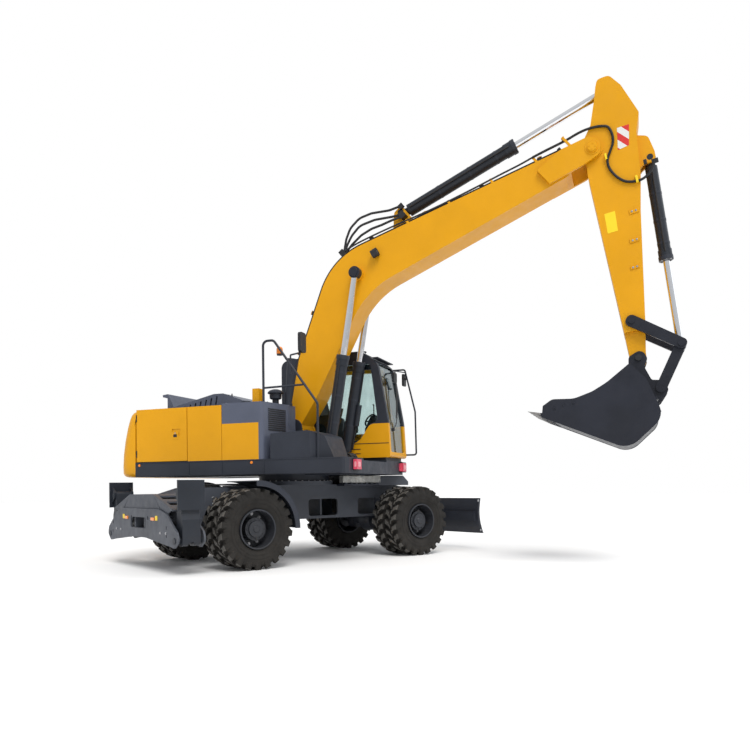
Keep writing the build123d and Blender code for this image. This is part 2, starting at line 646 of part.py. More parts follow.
SIDE_IN = UPPER_HALF - 60.0
SIDE_DECK = UPPER_HALF - PANEL - 70.0
DOOR_PIN = 9.0
DOOR_HINGE_X = SKIRT_REAR + DOOR_SEAM + PANEL / 2
DOOR_PIN_HEIGHT = 90.0
HOOD_SEAT = PANEL_TOP - 12.0 + SEAT_GAP
HOOD_HINGE_X = HOOD_REAR - 13.0
HOOD_HINGE_Z = HOOD_SEAT + 15.0
HOOD_PIN = 6.0


def upper_frame():
    """The main frame: side skirts, deck, main rails with the boom foot, and the swing race."""
    plan = [
        (SKIRT_REAR, -UPPER_HALF), (DECK_FRONT, -UPPER_HALF, 40), (DECK_FRONT + 30, 120 - UPPER_HALF, 40),
        (DECK_FRONT + 30, UPPER_HALF - 120, 40), (DECK_FRONT, UPPER_HALF, 40), (SKIRT_REAR, UPPER_HALF),
    ]
    frame = slab_xy(plan, DECK_BOTTOM, DECK_TOP)
    trough = [
        (SKIRT_REAR + 60, -SIDE_IN), (DECK_FRONT - 60, -SIDE_IN), (DECK_FRONT - 60, -RAIL_Y - 90),
        (SKIRT_REAR + 60, -RAIL_Y - 90),
    ]
    frame -= slab_xy(trough, DECK_BOTTOM - 1, DECK_TOP - 20)
    frame -= slab_xy([(x, -y) for x, y in trough], DECK_BOTTOM - 1, DECK_TOP - 20)
    middle = block(950, DECK_FRONT - 60, -RAIL_Y - 80, RAIL_Y + 80, DECK_BOTTOM - 1, DECK_TOP + 1)
    frame -= middle
    frame -= block(DECK_FRONT - 60, DECK_FRONT + 40, -640, 370, 1446, DECK_TOP + 1)
    frame += Pos(0, 0, RING_TOP + HINGE_GAP) * Cylinder(
        RING_RADIUS - 60, DECK_BOTTOM + 20 - RING_TOP, align=(Align.CENTER, Align.CENTER, Align.MIN)
    )
    foot = [
        (-620, DECK_TOP - 5), (-620, 1560), (BOOM_FOOT_X - 210, 1900), (BOOM_FOOT_X - 140, BOOM_FOOT_Z + 140, 130),
        (BOOM_FOOT_X + 140, BOOM_FOOT_Z + 140, 130), (BOOM_FOOT_X + 190, 1760),
        (BOOM_BASE_X - 160, 1600), (BOOM_BASE_X - 110, DECK_TOP - 5),
    ]
    frame += both(slab_xz(foot, RAIL_Y - 15, RAIL_Y + 20))
    eye = [
        (BOOM_BASE_X - 150, DECK_TOP - 120), (BOOM_BASE_X - 90, BOOM_BASE_Z + 60, 40),
        (BOOM_BASE_X + 90, BOOM_BASE_Z + 80, 70), (BOOM_BASE_X + 90, BOOM_BASE_Z - 80, 60),
        (BOOM_BASE_X + 20, DECK_TOP - 120),
    ]
    side = BOOM_CYLINDER_Y
    frame -= both(block(BOOM_BASE_X - 110, BOOM_BASE_X + 80, side - 60, side + 60, BOOM_BASE_Z - 95, DECK_TOP + 1))
    run = BOOM_BARREL + RUN_GAP
    frame -= both(block(BOOM_BASE_X + 75, 960, side - run, side + run, BOOM_BASE_Z - 100, DECK_TOP + 1))
    for low in (side - 48 - HINGE_GAP - PLATE, side + 48 + HINGE_GAP):
        frame += both(slab_xz(eye, low, low + PLATE))
    for x in (CAB_REAR + 110, CAB_FRONT - 250):
        for y in (CAB_RIGHT + 130, CAB_LEFT - 130):
            frame += Pos(x, y, DECK_TOP - 5) * Cylinder(
                70, CAB_BOTTOM - SEAT_GAP - DECK_TOP + 5, align=(Align.CENTER, Align.CENTER, Align.MIN)
            )
    for y in (PANEL / 2 - UPPER_HALF, UPPER_HALF - PANEL / 2):
        frame += Pos(DOOR_HINGE_X, y, DECK_TOP - 5) * Cylinder(
            DOOR_PIN, DOOR_PIN_HEIGHT + 5, align=(Align.CENTER, Align.CENTER, Align.MIN)
        )
    frame -= cross(BOOM_FOOT_X, BOOM_FOOT_Z, 50 + PIN_GAP, -400, 400)
    frame -= cross(BOOM_BASE_X, BOOM_BASE_Z, 42 + PIN_GAP, -500, 500)
    return frame


def counterweight():
    """A cast block across the tail, round at its corners and drawn in towards its top."""
    tail = [
        (SKIRT_REAR - SEAT_GAP, -UPPER_HALF), (TAIL_X, -UPPER_HALF, 330), (TAIL_X - TAIL_BULGE, 0, 3000),
        (TAIL_X, UPPER_HALF, 330), (SKIRT_REAR - SEAT_GAP, UPPER_HALF),
    ]
    weight = slab_xy(tail, DECK_BOTTOM, PANEL_TOP - 10)
    lean = [
        (SKIRT_REAR, DECK_BOTTOM - 1), (TAIL_X - TAIL_BULGE + 90, DECK_BOTTOM - 1),
        (TAIL_X - TAIL_BULGE - 1, 1400, 200), (TAIL_X - TAIL_BULGE + 40, 1950, 300),
        (TAIL_X - TAIL_BULGE + 150, PANEL_TOP, 120), (SKIRT_REAR, PANEL_TOP),
    ]
    weight &= slab_xz(lean, -UPPER_HALF - 1, UPPER_HALF + 1)
    return weight


def engine_block():
    return block(-1650, -750, -420, 420, DECK_TOP + SEAT_GAP, 2080)


def side_door(side):
    """A pressed side door, round at its rear edge, where it turns on a pin that stands on the deck."""
    radius = PANEL / 2
    x0 = DOOR_HINGE_X - radius
    x1 = DOOR_FRONT - 4
    hinge = UPPER_HALF - radius
    plan = [
        (x0, UPPER_HALF, radius * 0.99), (x1, UPPER_HALF), (x1, UPPER_HALF - PANEL),
        (x0, UPPER_HALF - PANEL, radius * 0.99),
    ]
    door = slab_xy(plan, DECK_TOP + 8, PANEL_TOP - 12)
    bore = Pos(x0 + radius, hinge, DECK_TOP) * Cylinder(
        DOOR_PIN + PIN_GAP, DOOR_PIN_HEIGHT + 10, align=(Align.CENTER, Align.CENTER, Align.MIN)
    )
    door -= bore
    pull = [(x1 - 250, 1850, 10), (x1 - 250, 1950, 10), (x1 - 110, 1950, 10), (x1 - 110, 1850, 10)]
    door -= slab_xz(pull, UPPER_HALF - 10, UPPER_HALF + 10)
    return door if side > 0 else mirror(door, about=Plane.XZ)


def tank():
    """The tank on the right, stepped in behind the yellow panel at its foot."""
    plan = [
        (TANK_REAR + 4, -UPPER_HALF), (TANK_FRONT, -UPPER_HALF, 60), (TANK_FRONT + 110, -700, 40),
        (TANK_FRONT + 110, -460), (TANK_REAR + 4, -460),
    ]
    body = slab_xy(plan, DECK_TOP + SEAT_GAP, PANEL_TOP + 8)
    step = PANEL - UPPER_HALF
    body -= block(TANK_REAR, TANK_FRONT - 60, -UPPER_HALF - 1, step, DECK_TOP, TANK_SPLIT)
    body += Pos(-250, -1000, PANEL_TOP + 7) * Cylinder(60, 31, align=(Align.CENTER, Align.CENTER, Align.MIN))
    return body


def side_panels():
    """The yellow panels: over the tank's foot, in the middle, behind the cab, and the filler box."""
    z0 = DECK_TOP + SEAT_GAP
    step = PANEL - UPPER_HALF - SEAT_GAP
    foot = block(TANK_REAR + 4, TANK_FRONT - 60 - SEAT_GAP, -UPPER_HALF, step, z0, TANK_SPLIT - SEAT_GAP)
    stub = block(-180, -75, -955, -845, PANEL_TOP + 8 + SEAT_GAP, 2510)
    middle = block(DOOR_FRONT + 8, TANK_REAR - 4, -UPPER_HALF, -UPPER_HALF + PANEL, z0, PANEL_TOP - 12)
    top = PANEL_TOP - 12
    middle += block(DOOR_FRONT + 8, TANK_REAR - 4, -UPPER_HALF, -SIDE_DECK - SEAT_GAP, top - 28, top)
    left = block(DOOR_FRONT + 8, CAB_REAR - 40, UPPER_HALF - PANEL, UPPER_HALF, z0, top)
    wall = block(CAB_REAR - 40 - PANEL, CAB_REAR - 40, 360, UPPER_HALF - PANEL, z0, top)
    return foot + stub + middle + left + wall


def hood_deck():
    """The fixed deck round the hood, over the engine bay, with the pins that the hood turns on."""
    top = block(SKIRT_REAR, TANK_REAR - 6, -SIDE_DECK, SIDE_DECK, PANEL_TOP - 40, PANEL_TOP - 12)
    top -= block(HOOD_REAR + 15, HOOD_FRONT - 15, -HOOD_HALF + 15, HOOD_HALF - 15, PANEL_TOP - 50, PANEL_TOP)
    for y in (430, 562):
        lug = block(HOOD_HINGE_X - 10, HOOD_HINGE_X + 10, y, y + 8, PANEL_TOP - 20, HOOD_HINGE_Z)
        top += both(lug + cross(HOOD_HINGE_X, HOOD_HINGE_Z, 10, y, y + 8))
    return top + both(cross(HOOD_HINGE_X, HOOD_HINGE_Z, HOOD_PIN, 431, 569))


def hood():
    """The raised engine hood: lip at its rear edge, rising top, and a louvred grille along each side."""
    z0 = HOOD_SEAT
    rise = (HOOD_TOP - HOOD_LOW) / 730
    shape = [
        (HOOD_REAR, z0), (HOOD_REAR, HOOD_LIP - 60), (HOOD_REAR - 85, HOOD_LIP - 40), (HOOD_REAR - 90, HOOD_LIP - 5),
        (HOOD_REAR + 5, HOOD_LIP + 6), (HOOD_REAR + 60, HOOD_LIP - 92), (HOOD_REAR + 115, HOOD_LOW, 30),
        (HOOD_REAR + 845, HOOD_TOP, 120), (HOOD_FRONT - 330, HOOD_TOP), (HOOD_FRONT, HOOD_TOP - 118, 30),
        (HOOD_FRONT, z0),
    ]
    shell = slab_xz(shape, -HOOD_HALF, HOOD_HALF)
    inside = [
        (HOOD_REAR + 30, z0 - 1), (HOOD_REAR + 30, HOOD_LOW - 40), (HOOD_REAR + 120, HOOD_LOW - 30),
        (HOOD_REAR + 845, HOOD_TOP - 32), (HOOD_FRONT - 345, HOOD_TOP - 30), (HOOD_FRONT - 30, HOOD_TOP - 142),
        (HOOD_FRONT - 30, z0 - 1),
    ]
    shell -= slab_xz(inside, -HOOD_HALF + 30, HOOD_HALF - 30)
    for i in range(HOOD_LOUVRES):
        x = HOOD_REAR + 190 + 95 * i
        top = HOOD_LOW - 40 + (x - HOOD_REAR - 115) * rise
        slot = [(x, z0 + 30), (x + 34, top), (x + 60, top), (x + 26, z0 + 30)]
        shell -= both(slab_xz(slot, HOOD_HALF - 31, HOOD_HALF + 1))
    web = block(HOOD_HINGE_X, HOOD_REAR + 5, 441, 559, HOOD_HINGE_Z, HOOD_HINGE_Z + 13)
    shell += both(web + cross(HOOD_HINGE_X, HOOD_HINGE_Z, 13, 441, 559))
    return shell - both(cross(HOOD_HINGE_X, HOOD_HINGE_Z, HOOD_PIN + PIN_GAP, 430, 570))


def step_box():
    """The step box ahead of the tank, with its chamfered front."""
    plan_side = [
        (TANK_FRONT + 115, DECK_TOP + SEAT_GAP), (TANK_FRONT + 115, 1825, 20), (830, 1850, 60), (1010, 1790, 60),
        (1110, DECK_TOP + SEAT_GAP),
    ]
    box = slab_xz(plan_side, -UPPER_HALF + 12, -470)
    cut = [(850, -UPPER_HALF), (1200, -UPPER_HALF), (1200, 370 - UPPER_HALF)]
    return box - slab_xy(cut, DECK_TOP - 1, 1900)


RAIL_TOP = 3125.0
BEACON = (350.0, HANDRAIL_Y + 85, 2945.0)
MIRROR_TOP = 3240.0
STAY_X = 610.0
HOOP_Y = CAB_LEFT + 60
HOOP_TOP = 3010.0
HOOP_LOW = 1590.0


def handrails():
    """The rail over the tank with the beacon's bracket, and the hoop at the cab's front with its stay."""
    y = HANDRAIL_Y
    rail = pipe([
        (TANK_FRONT - 15, y, PANEL_TOP + 8 + SEAT_GAP), (TANK_FRONT - 15, y, RAIL_TOP),
        (TANK_FRONT + 150, y, RAIL_TOP), (960, y, 2215), (960, y, DECK_TOP + SEAT_GAP),
    ], 17, 70)
    rail += bar((TANK_FRONT - 15, y, 2470), (745, y, 2480), 14)
    mirror_y = y + 195
    stay = [
        (560, y, 2645), (560, y, 2900), (STAY_X, mirror_y, 2960), (STAY_X, mirror_y, MIRROR_TOP - 240),
    ]
    rail += pipe(stay, 12, 20)
    rail += bar((445, y, 2926), (BEACON[0], BEACON[1], BEACON[2] - 15), 9)
    rail += Pos(BEACON[0], BEACON[1], BEACON[2] - 10) * Cylinder(40, 20)
    hoop = pipe([
        (CAB_FRONT - 300, CAB_LEFT + SEAT_GAP, HOOP_TOP), (CAB_FRONT - 300, HOOP_Y, HOOP_TOP),
        (CAB_FRONT - 30, HOOP_Y, HOOP_TOP), (CAB_FRONT + 140, HOOP_Y, 2300),
        (CAB_FRONT + 150, HOOP_Y, HOOP_LOW), (CAB_FRONT - 50, HOOP_Y, HOOP_LOW),
        (CAB_FRONT - 50, CAB_LEFT + SEAT_GAP, HOOP_LOW),
    ], 14, 40)
    hoop += bar((CAB_FRONT - 18, HOOP_Y, 2960), (CAB_FRONT - 68, CAB_LEFT - 360, 2930), 9)
    return rail + hoop


def beacon():
    x, y, z = BEACON
    lens = Pos(x, y, z + SEAT_GAP) * Cylinder(44, 60, align=(Align.CENTER, Align.CENTER, Align.MIN))
    return lens + Pos(x, y, z + SEAT_GAP + 60) * Sphere(44)


def stacks():
    """The leaning exhaust stack with its open mouth, and the mushroom of the air pre-cleaner."""
    z0 = PANEL_TOP + 8 + SEAT_GAP
    bowl = [(0, 0), (48, 0), (48, 92), (86, 108), (90, 176), (116, 184), (116, 200), (92, 226), (45, 244), (0, 250)]
    side = Plane(origin=(0, 0, 0), x_dir=(1, 0, 0), z_dir=(0, -1, 0))
    body = Pos(30, -640, z0) * revolve(side * outline(bowl), axis=Axis.Z)
    foot = Vector(212, -600, z0 + 10)
    mouth = Vector(305, -600, 2960)
    along = Plane(origin=foot, z_dir=mouth - foot)
    run = (mouth - foot).length
    body += Pos(212, -600, z0) * Cylinder(66, 35, align=(Align.CENTER, Align.CENTER, Align.MIN))
    body += along * Cone(52, 85, run, align=(Align.CENTER, Align.CENTER, Align.MIN))
    return body - along * Pos(0, 0, run - 250) * Cylinder(68, 260, align=(Align.CENTER, Align.CENTER, Align.MIN))


def lamps():
    """The square lamp in its housing at each front corner of the deck."""
    x = DECK_FRONT + 30 + SEAT_GAP
    corner_y = UPPER_HALF - 260
    right = block(x, x + 26, -corner_y + 15, -corner_y + 150, 1320, 1440)
    left = block(x, x + 26, corner_y - 30, corner_y + 100, 1320, 1440)
    return right + left


def mirrors():
    """The mirror at the right rail and the pair at the cab's left front corner."""
    y = HANDRAIL_Y + 195
    low = MIRROR_TOP - 280
    right = [(y - 90, low, 40), (y - 90, MIRROR_TOP, 40), (y + 90, MIRROR_TOP, 40), (y + 90, low, 40)]
    body = slab_yz(right, STAY_X + 12 + SEAT_GAP, STAY_X + 55)
    outer = [(HOOP_Y - 70, 2735, 30), (HOOP_Y - 70, 2935, 30), (HOOP_Y + 70, 2935, 30), (HOOP_Y + 70, 2735, 30)]
    body += slab_yz(outer, CAB_FRONT - 62, CAB_FRONT - 30)
    body += block(CAB_FRONT - 31, CAB_FRONT - 10, HOOP_Y - 15, HOOP_Y + 15, 2835, 2865)
    y = CAB_LEFT - 355
    inner = [(y - 70, 2740, 30), (y - 70, 2900, 30), (y + 70, 2900, 30), (y + 70, 2740, 30)]
    body += slab_yz(inner, CAB_FRONT - 85, CAB_FRONT - 55)
    return body + block(CAB_FRONT - 75, CAB_FRONT - 61, y - 3, y + 20, 2899, 2921 - SEAT_GAP)


def cab_section(x_low, x_high):
    """The cab's side outline: a straight back, a leaning front and a crowned roof."""
    return [
        (x_low, CAB_BOTTOM), (x_low, CAB_TOP - 60, 120), (x_low + 500, CAB_TOP, 400),
        (x_high - 420, CAB_TOP - 10, 200), (x_high - 190, CAB_TOP - 190, 260), (x_high - 30, 2080, 900),
        (x_high, CAB_BOTTOM, 40),
    ]


# Cab windows: each outline cuts its hole and, drawn in by the seat gap, is its pane
RIGHT_WINDOW = [
    (CAB_REAR + 110, 1800, 60), (CAB_REAR + 110, 2990, 60), (CAB_FRONT - 310, 2990, 60),
    (CAB_FRONT - 200, 2100, 60), (CAB_FRONT - 330, 2050, 80), (CAB_FRONT - 500, 1800, 80),
]
REAR_SIDE_WINDOW = [
    (CAB_REAR + 90, 2150, 40), (CAB_REAR + 90, 2990, 40), (DOOR_REAR_X - 70, 2990, 40), (DOOR_REAR_X - 70, 2150, 40),
]
BACK_WINDOW = [
    (CAB_RIGHT + 90, 2150, 40), (CAB_RIGHT + 90, 2980, 40), (CAB_LEFT - 90, 2980, 40), (CAB_LEFT - 90, 2150, 40),
]
LOWER_SCREEN = [
    (CAB_RIGHT + 70, 1610, 30), (CAB_RIGHT + 70, 1990), (CAB_LEFT - 70, 1990), (CAB_LEFT - 70, 1610, 30),
]
UPPER_SCREEN = [
    (CAB_RIGHT + 70, 1990), (CAB_RIGHT + 70, 3010, 40), (CAB_LEFT - 70, 3010, 40), (CAB_LEFT - 70, 1990),
]
ROOF_WINDOW = [
    (CAB_REAR + 620, CAB_RIGHT + 130, 40), (CAB_REAR + 1250, CAB_RIGHT + 130, 40),
    (CAB_REAR + 1250, CAB_LEFT - 130, 40), (CAB_REAR + 620, CAB_LEFT - 130, 40),
]
DOORWAY = [
    (DOOR_REAR_X, 1640, 40), (DOOR_REAR_X, 3040, 60), (CAB_FRONT - 360, 3040, 60),
    (CAB_FRONT - 190, 2100, 300), (DOOR_FRONT_X + 330, 1640, 60),
]
DOOR_HINGES = (1900.0, 2850.0)
DOOR_WINDOW = [
    (DOOR_REAR_X + 70, 1960, 50), (DOOR_REAR_X + 70, 2975, 50), (CAB_FRONT - 425, 2975, 50),
    (CAB_FRONT - 270, 2150, 200), (CAB_FRONT - 330, 1960, 60),
]


def cab_shell():
    """The cab's hollow body with every window and the doorway cut through its walls."""
    outer = slab_xz(cab_section(CAB_REAR, CAB_FRONT), CAB_RIGHT, CAB_LEFT)
    inner = [
        (CAB_REAR + CAB_WALL, CAB_BOTTOM + 55), (CAB_REAR + CAB_WALL, CAB_TOP - 120, 80),
        (CAB_REAR + 500, CAB_TOP - 60, 300), (CAB_FRONT - 440, CAB_TOP - 70, 150),
        (CAB_FRONT - 250, CAB_TOP - 220, 200), (CAB_FRONT - 95, 2080, 800), (CAB_FRONT - 70, CAB_BOTTOM + 55),
    ]
    shell = outer - slab_xz(inner, CAB_RIGHT + CAB_WALL, CAB_LEFT - CAB_WALL)
    shell -= slab_yz(LOWER_SCREEN, CAB_FRONT - 330, CAB_FRONT + 10)
    shell -= slab_yz(UPPER_SCREEN, CAB_FRONT - 330, CAB_FRONT + 10)
    shell -= slab_yz(BACK_WINDOW, CAB_REAR - 1, CAB_REAR + CAB_WALL + 1)
    shell -= slab_xz(RIGHT_WINDOW, CAB_RIGHT - 1, CAB_RIGHT + CAB_WALL + 1)
    shell -= slab_xz(REAR_SIDE_WINDOW, CAB_LEFT - CAB_WALL - 1, CAB_LEFT + 1)
    shell -= slab_xz(DOORWAY, CAB_LEFT - CAB_WALL - 1, CAB_LEFT + 1)
    shell -= slab_xy(ROOF_WINDOW, CAB_TOP - 100, CAB_TOP + 10)
    return shell


def yellow_line():
    """The edge between the cab's painted lower body and its dark upper frame."""
    return [
        (CAB_REAR - 10, DECK_TOP), (CAB_REAR - 10, 1745), (CAB_FRONT - 560, 1745, 200), (CAB_FRONT - 330, 2055, 160),
        (CAB_FRONT + 30, 2055), (CAB_FRONT + 30, DECK_TOP),
    ]


def cab_lower(shell):
    return shell & slab_xz(yellow_line(), CAB_RIGHT - 5, CAB_LEFT + 5)


def cab_frame(shell):
    frame = shell - slab_xz(yellow_line(), CAB_RIGHT - 5, CAB_LEFT + 5)
    x = DOOR_REAR_X - 2
    y = CAB_LEFT + 14
    for z in DOOR_HINGES:
        top = z - 50 - HINGE_GAP
        frame += bar((x, y, top - 45), (x, y, top), 13)
        frame += block(x - 50, x, CAB_LEFT - 5, CAB_LEFT + 20, top - 45, top)
    return frame


def cab_door():
    """The door on the left side, hung at its rear edge, with its window cut out."""
    door = slab_xz(inset(DOORWAY, 6), CAB_LEFT - CAB_WALL + 8, CAB_LEFT)
    door -= slab_xz(DOOR_WINDOW, CAB_LEFT - 100, CAB_LEFT + 1)
    for z in DOOR_HINGES:
        door += block(DOOR_REAR_X + 8, DOOR_REAR_X + 50, CAB_LEFT - 6, CAB_LEFT + 20, z - 50, z + 50)
        door += block(DOOR_REAR_X - 2, DOOR_REAR_X + 50, CAB_LEFT + 5, CAB_LEFT + 20, z - 50, z + 50)
        door += bar((DOOR_REAR_X - 2, CAB_LEFT + 14, z - 50), (DOOR_REAR_X - 2, CAB_LEFT + 14, z + 50), 13)
    return door


def cab_door_glass():
    return slab_xz(inset(DOOR_WINDOW, SEAT_GAP), CAB_LEFT - 30, CAB_LEFT - 30 + GLASS)


def cab_glass():
    """The right window, the windscreen in two panes, the rear panes and the roof hatch."""
    panes = slab_xz(inset(RIGHT_WINDOW, SEAT_GAP), CAB_RIGHT + 20, CAB_RIGHT + 20 + GLASS)
    screen = slab_xz(cab_section(CAB_REAR, CAB_FRONT - 25), CAB_RIGHT + 20, CAB_LEFT - 20)
    screen -= slab_xz(cab_section(CAB_REAR - 20, CAB_FRONT - 25 - GLASS), CAB_RIGHT, CAB_LEFT)
    for pane in (LOWER_SCREEN, UPPER_SCREEN):
        panes += screen & slab_yz(inset(pane, SEAT_GAP), CAB_FRONT - 330, CAB_FRONT)
    panes += slab_yz(inset(BACK_WINDOW, SEAT_GAP), CAB_REAR + 20, CAB_REAR + 20 + GLASS)
    panes += slab_xz(inset(REAR_SIDE_WINDOW, SEAT_GAP), CAB_LEFT - 30, CAB_LEFT - 30 + GLASS)
    panes += slab_xy(inset(ROOF_WINDOW, SEAT_GAP), CAB_TOP - 40, CAB_TOP - 40 + GLASS)
    return panes


def cab_interior():
    """The seat on its pedestal, the two consoles and the steering column."""
    y = (CAB_RIGHT + CAB_LEFT) / 2
    z0 = CAB_BOTTOM + 55 + SEAT_GAP
    base = block(100, 560, y - 200, y + 200, z0, 1900)
    cushion = slab_xz([(90, 1895), (90, 2040, 40), (620, 2040, 60), (620, 1895, 40)], y - 250, y + 250)
    rest = slab_xz([(60, 2030), (-60, 2720, 60), (60, 2740, 60), (190, 2030)], y - 240, y + 240)
    seat = base + cushion + rest
    console = [(150, z0), (150, 2180, 30), (620, 2180, 50), (620, 1990, 30), (400, 1850, 60), (400, z0)]
    for low in (y - 340, y + 260):
        seat += slab_xz(console, low, low + 78)
        seat += bar((560, low + 39, 2170), (600, low + 39, 2330), 20)
    column = slab_xz([(1000, z0), (960, 2060), (1040, 2060), (1130, z0)], y - 70, y + 70)
    column += bar((1000, y, 2050), (975, y, 2130), 40)
    return seat + column


# Boom, arm and bucket, each drawn along X from its own pin

def drawn_out(points, share):
    """An outline stretched along its link."""
    return [(p[0] * share, *p[1:]) for p in points]


BOOM_OUTLINE = [
    (-95, 60, 0), (257, 500, 150), (2081, 1566, 1000), (5336, 300, 0), (5624, 120, 0), (5624, -50, 0),
    (5160, -38, 0), (2164, 804, 1200), (567, 120, 0), (120, -20, 0), (60, -100, 100), (-100, -90, 90),
]


def boom():
    core = slab_xz(drawn_out(BOOM_OUTLINE, BOOM_SHARE), -BOOM_HALF, BOOM_HALF)
    core -= cross(BOOM_LENGTH, 0, 385, -BOOM_HALF - 1, BOOM_HALF + 1)
    ear = [
        (BOOM_LENGTH - 674, 300), (BOOM_LENGTH - 294, 285, 200), (BOOM_LENGTH + 60, 150, 120),
        (BOOM_LENGTH + 135, 0, 110), (BOOM_LENGTH + 20, -135, 110), (BOOM_LENGTH - 224, -90, 200),
        (BOOM_LENGTH - 674, 40),
    ]
    body = core + both(slab_xz(ear, BOOM_HALF - 10, EAR_OUT)) - both(
        cross(BOOM_LENGTH, 0, 385, 0, EAR_IN)
    )
    body += both(cross(BOOM_LENGTH, 0, 70, ARM_HALF + 26, EAR_OUT + 25))
    body += cross(BOOM_LENGTH, 0, 52, -EAR_OUT, EAR_OUT)
    body += both(cross(0, 0, 115, BOOM_HALF - 10, RAIL_Y - 15 - HINGE_GAP))
    body += cross(0, 0, 50, -RAIL_Y - 40, RAIL_Y + 40)
    body += both(cross(BOOM_EYE_S, BOOM_EYE_H, 95, BOOM_HALF - 10, BOOM_CYLINDER_Y - 48 - HINGE_GAP))
    bracket = [
        (ARM_BASE_S - 300, 1190), (ARM_BASE_S - 72, ARM_BASE_H + 66, 66), (ARM_BASE_S + 70, ARM_BASE_H + 72, 70),
        (ARM_BASE_S + 70, 1030), (ARM_BASE_S - 100, 960),
    ]
    for low in (60 + HINGE_GAP, -60 - HINGE_GAP - 45):
        body += slab_xz(bracket, low, low + 45)
    body -= cross(ARM_BASE_S, ARM_BASE_H, 45 + PIN_GAP, -150, 150)
    return body


ARM_OUTLINE = [
    (-893, 385, 80), (-893, 235, 60), (-800, 196, 0), (-640, 148, 0), (-326, 37, 0), (-176, -75, 120),
    (301, -125, 200),
    (2291, -103, 0), (2760, -100, 90), (2929, -90, 90), (2929, 95, 90), (2787, 103, 0),
    (2388, 176, 0), (978, 407, 400), (520, 500, 120), (-40, 560, 300), (-280, 640, 60), (-710, 500, 60),
]


def arm():
    body = slab_xz(drawn_out(ARM_OUTLINE, ARM_SHARE), -ARM_HALF, ARM_HALF)
    body += both(cross(0, 0, 130, ARM_HALF - 10, ARM_HALF + 25))
    body -= cross(0, 0, 52 + PIN_GAP, -400, 400)
    slot = [(-1000, 60), (-1000, 700), (-620, 560), (-560, 330, 60), (-560, 60)]
    body -= slab_xz(slot, -60 - HINGE_GAP, 60 + HINGE_GAP)
    ear = [
        (-60, 500), (20, BUCKET_BASE_H + 30, 80), (BUCKET_BASE_S - 60, BUCKET_BASE_H + 68, 60),
        (BUCKET_BASE_S + 68, BUCKET_BASE_H + 68, 66), (BUCKET_BASE_S + 68, BUCKET_BASE_H - 90, 60), (480, 440),
    ]
    for low in (60 + HINGE_GAP, -60 - HINGE_GAP - 45):
        body += slab_xz(ear, low, low + 45)
    body -= cross(BUCKET_BASE_S, BUCKET_BASE_H, 40 + PIN_GAP, -150, 150)
    narrow = block(ARM_LENGTH - 354, ARM_LENGTH + 150, ARM_END_HALF, ARM_HALF + 1, -200, 300)
    body -= both(narrow)
    body -= cross(ROCKER_S, ROCKER_H, 40 + PIN_GAP, -300, 300)
    body -= cross(ARM_LENGTH, 0, 45 + PIN_GAP, -300, 300)
    return body


# Across the machine, from the middle out: the rod's eye and its pin, the bucket's ears, the
# link's cheeks, and the rocker's plates outside the arm
EAR_PLATE = 28.0
BUCKET_EAR_IN = ARM_END_HALF + 2.0
LINK_IN = BUCKET_EAR_IN + EAR_PLATE + 2.0
LINK_PLATE = 26.0
ROCKER_IN = ARM_HALF + HINGE_GAP
ROCKER_PLATE = 36.0


def rocker():
    """The two rocker plates outside the arm with the pin they turn on."""
    out = ROCKER_IN + ROCKER_PLATE
    plate = [(-72, -75, 70), (-72, 75, 70), (ROCKER_LENGTH + 66, 66, 62), (ROCKER_LENGTH + 66, -66, 62)]
    body = both(slab_xz(plate, ROCKER_IN, out))
    body += cross(0, 0, 40, -out - 15, out + 15)
    body += both(cross(ROCKER_LENGTH, 0, 40, ROCKER_IN, out + 15))
    return body


def link():
    """The link from the rocker's end, forked over the bucket's ears."""
    cheek = [(-66, -64, 60), (-66, 64, 60), (LINK_LENGTH + 66, 64, 60), (LINK_LENGTH + 66, -64, 60)]
    body = both(slab_xz(cheek, LINK_IN, LINK_IN + LINK_PLATE))
    body += block(LINK_LENGTH - 262, LINK_LENGTH - 190, -LINK_IN - 1, LINK_IN + 1, -36, 36)
    body -= cross(LINK_LENGTH, 0, 38 + PIN_GAP, -300, 300)
    return body


BUCKET_OUTLINE = [(1385, 150, 0), (640, 1010, 240), (105, 840, 200), (70, 330, 160), (150, 62, 0)]


def bucket():
    """A welded digging bucket: shell, side plates, ears, lip and five teeth."""
    p = BUCKET_PLATE
    outer = slab_xz([(s, h, r) for s, h, r in BUCKET_OUTLINE], -BUCKET_HALF + p - 1, BUCKET_HALF - p + 1)
    core = [
        (1450, 120, 0), (1364, 135, 0), (632, 974, 212), (134, 822, 172), (100, 336, 140), (178, 70, 0),
        (150, 0, 0), (1400, 0, 0),
    ]
    body = outer - slab_xz(core, -BUCKET_HALF, BUCKET_HALF)
    cheek = [
        (150, 62), (491, 141, 600), (696, 158, 300), (933, 131, 300), (1175, 5, 100), (1316, 26), (1395, 150),
        (640, 1016, 244), (99, 845, 204), (64, 330, 160),
    ]
    body += both(slab_xz(cheek, BUCKET_HALF - p, BUCKET_HALF))
    body += slab_xz([(1430, 88), (1280, 215), (1262, 290)], -BUCKET_HALF + 1, BUCKET_HALF - 1)
    tooth = [(1330, 128), (1520, -5), (1400, 150), (1300, 262), (1280, 215)]
    for i in range(5):
        y = (i - 2) * (BUCKET_HALF - 55) / 2
        body += slab_xz(tooth, y - 48, y + 48)
    ear = [
        (-92, -88, 80), (100, -70, 60), (180, 90), (120, 340), (110, 640), (20, 640, 60),
        (LUG_S - 66, LUG_H + 72, 66),
        (LUG_S - 66, LUG_H - 68, 60), (-10, 330, 40), (-10, 140, 40), (-92, 60, 50),
    ]
    body += both(slab_xz(ear, BUCKET_EAR_IN, BUCKET_EAR_IN + EAR_PLATE))
    body += cross(0, 0, 45, -BUCKET_EAR_IN - 1, BUCKET_EAR_IN + 1)
    body += both(cross(LUG_S, LUG_H, 38, BUCKET_EAR_IN, LINK_IN + LINK_PLATE))
    return body


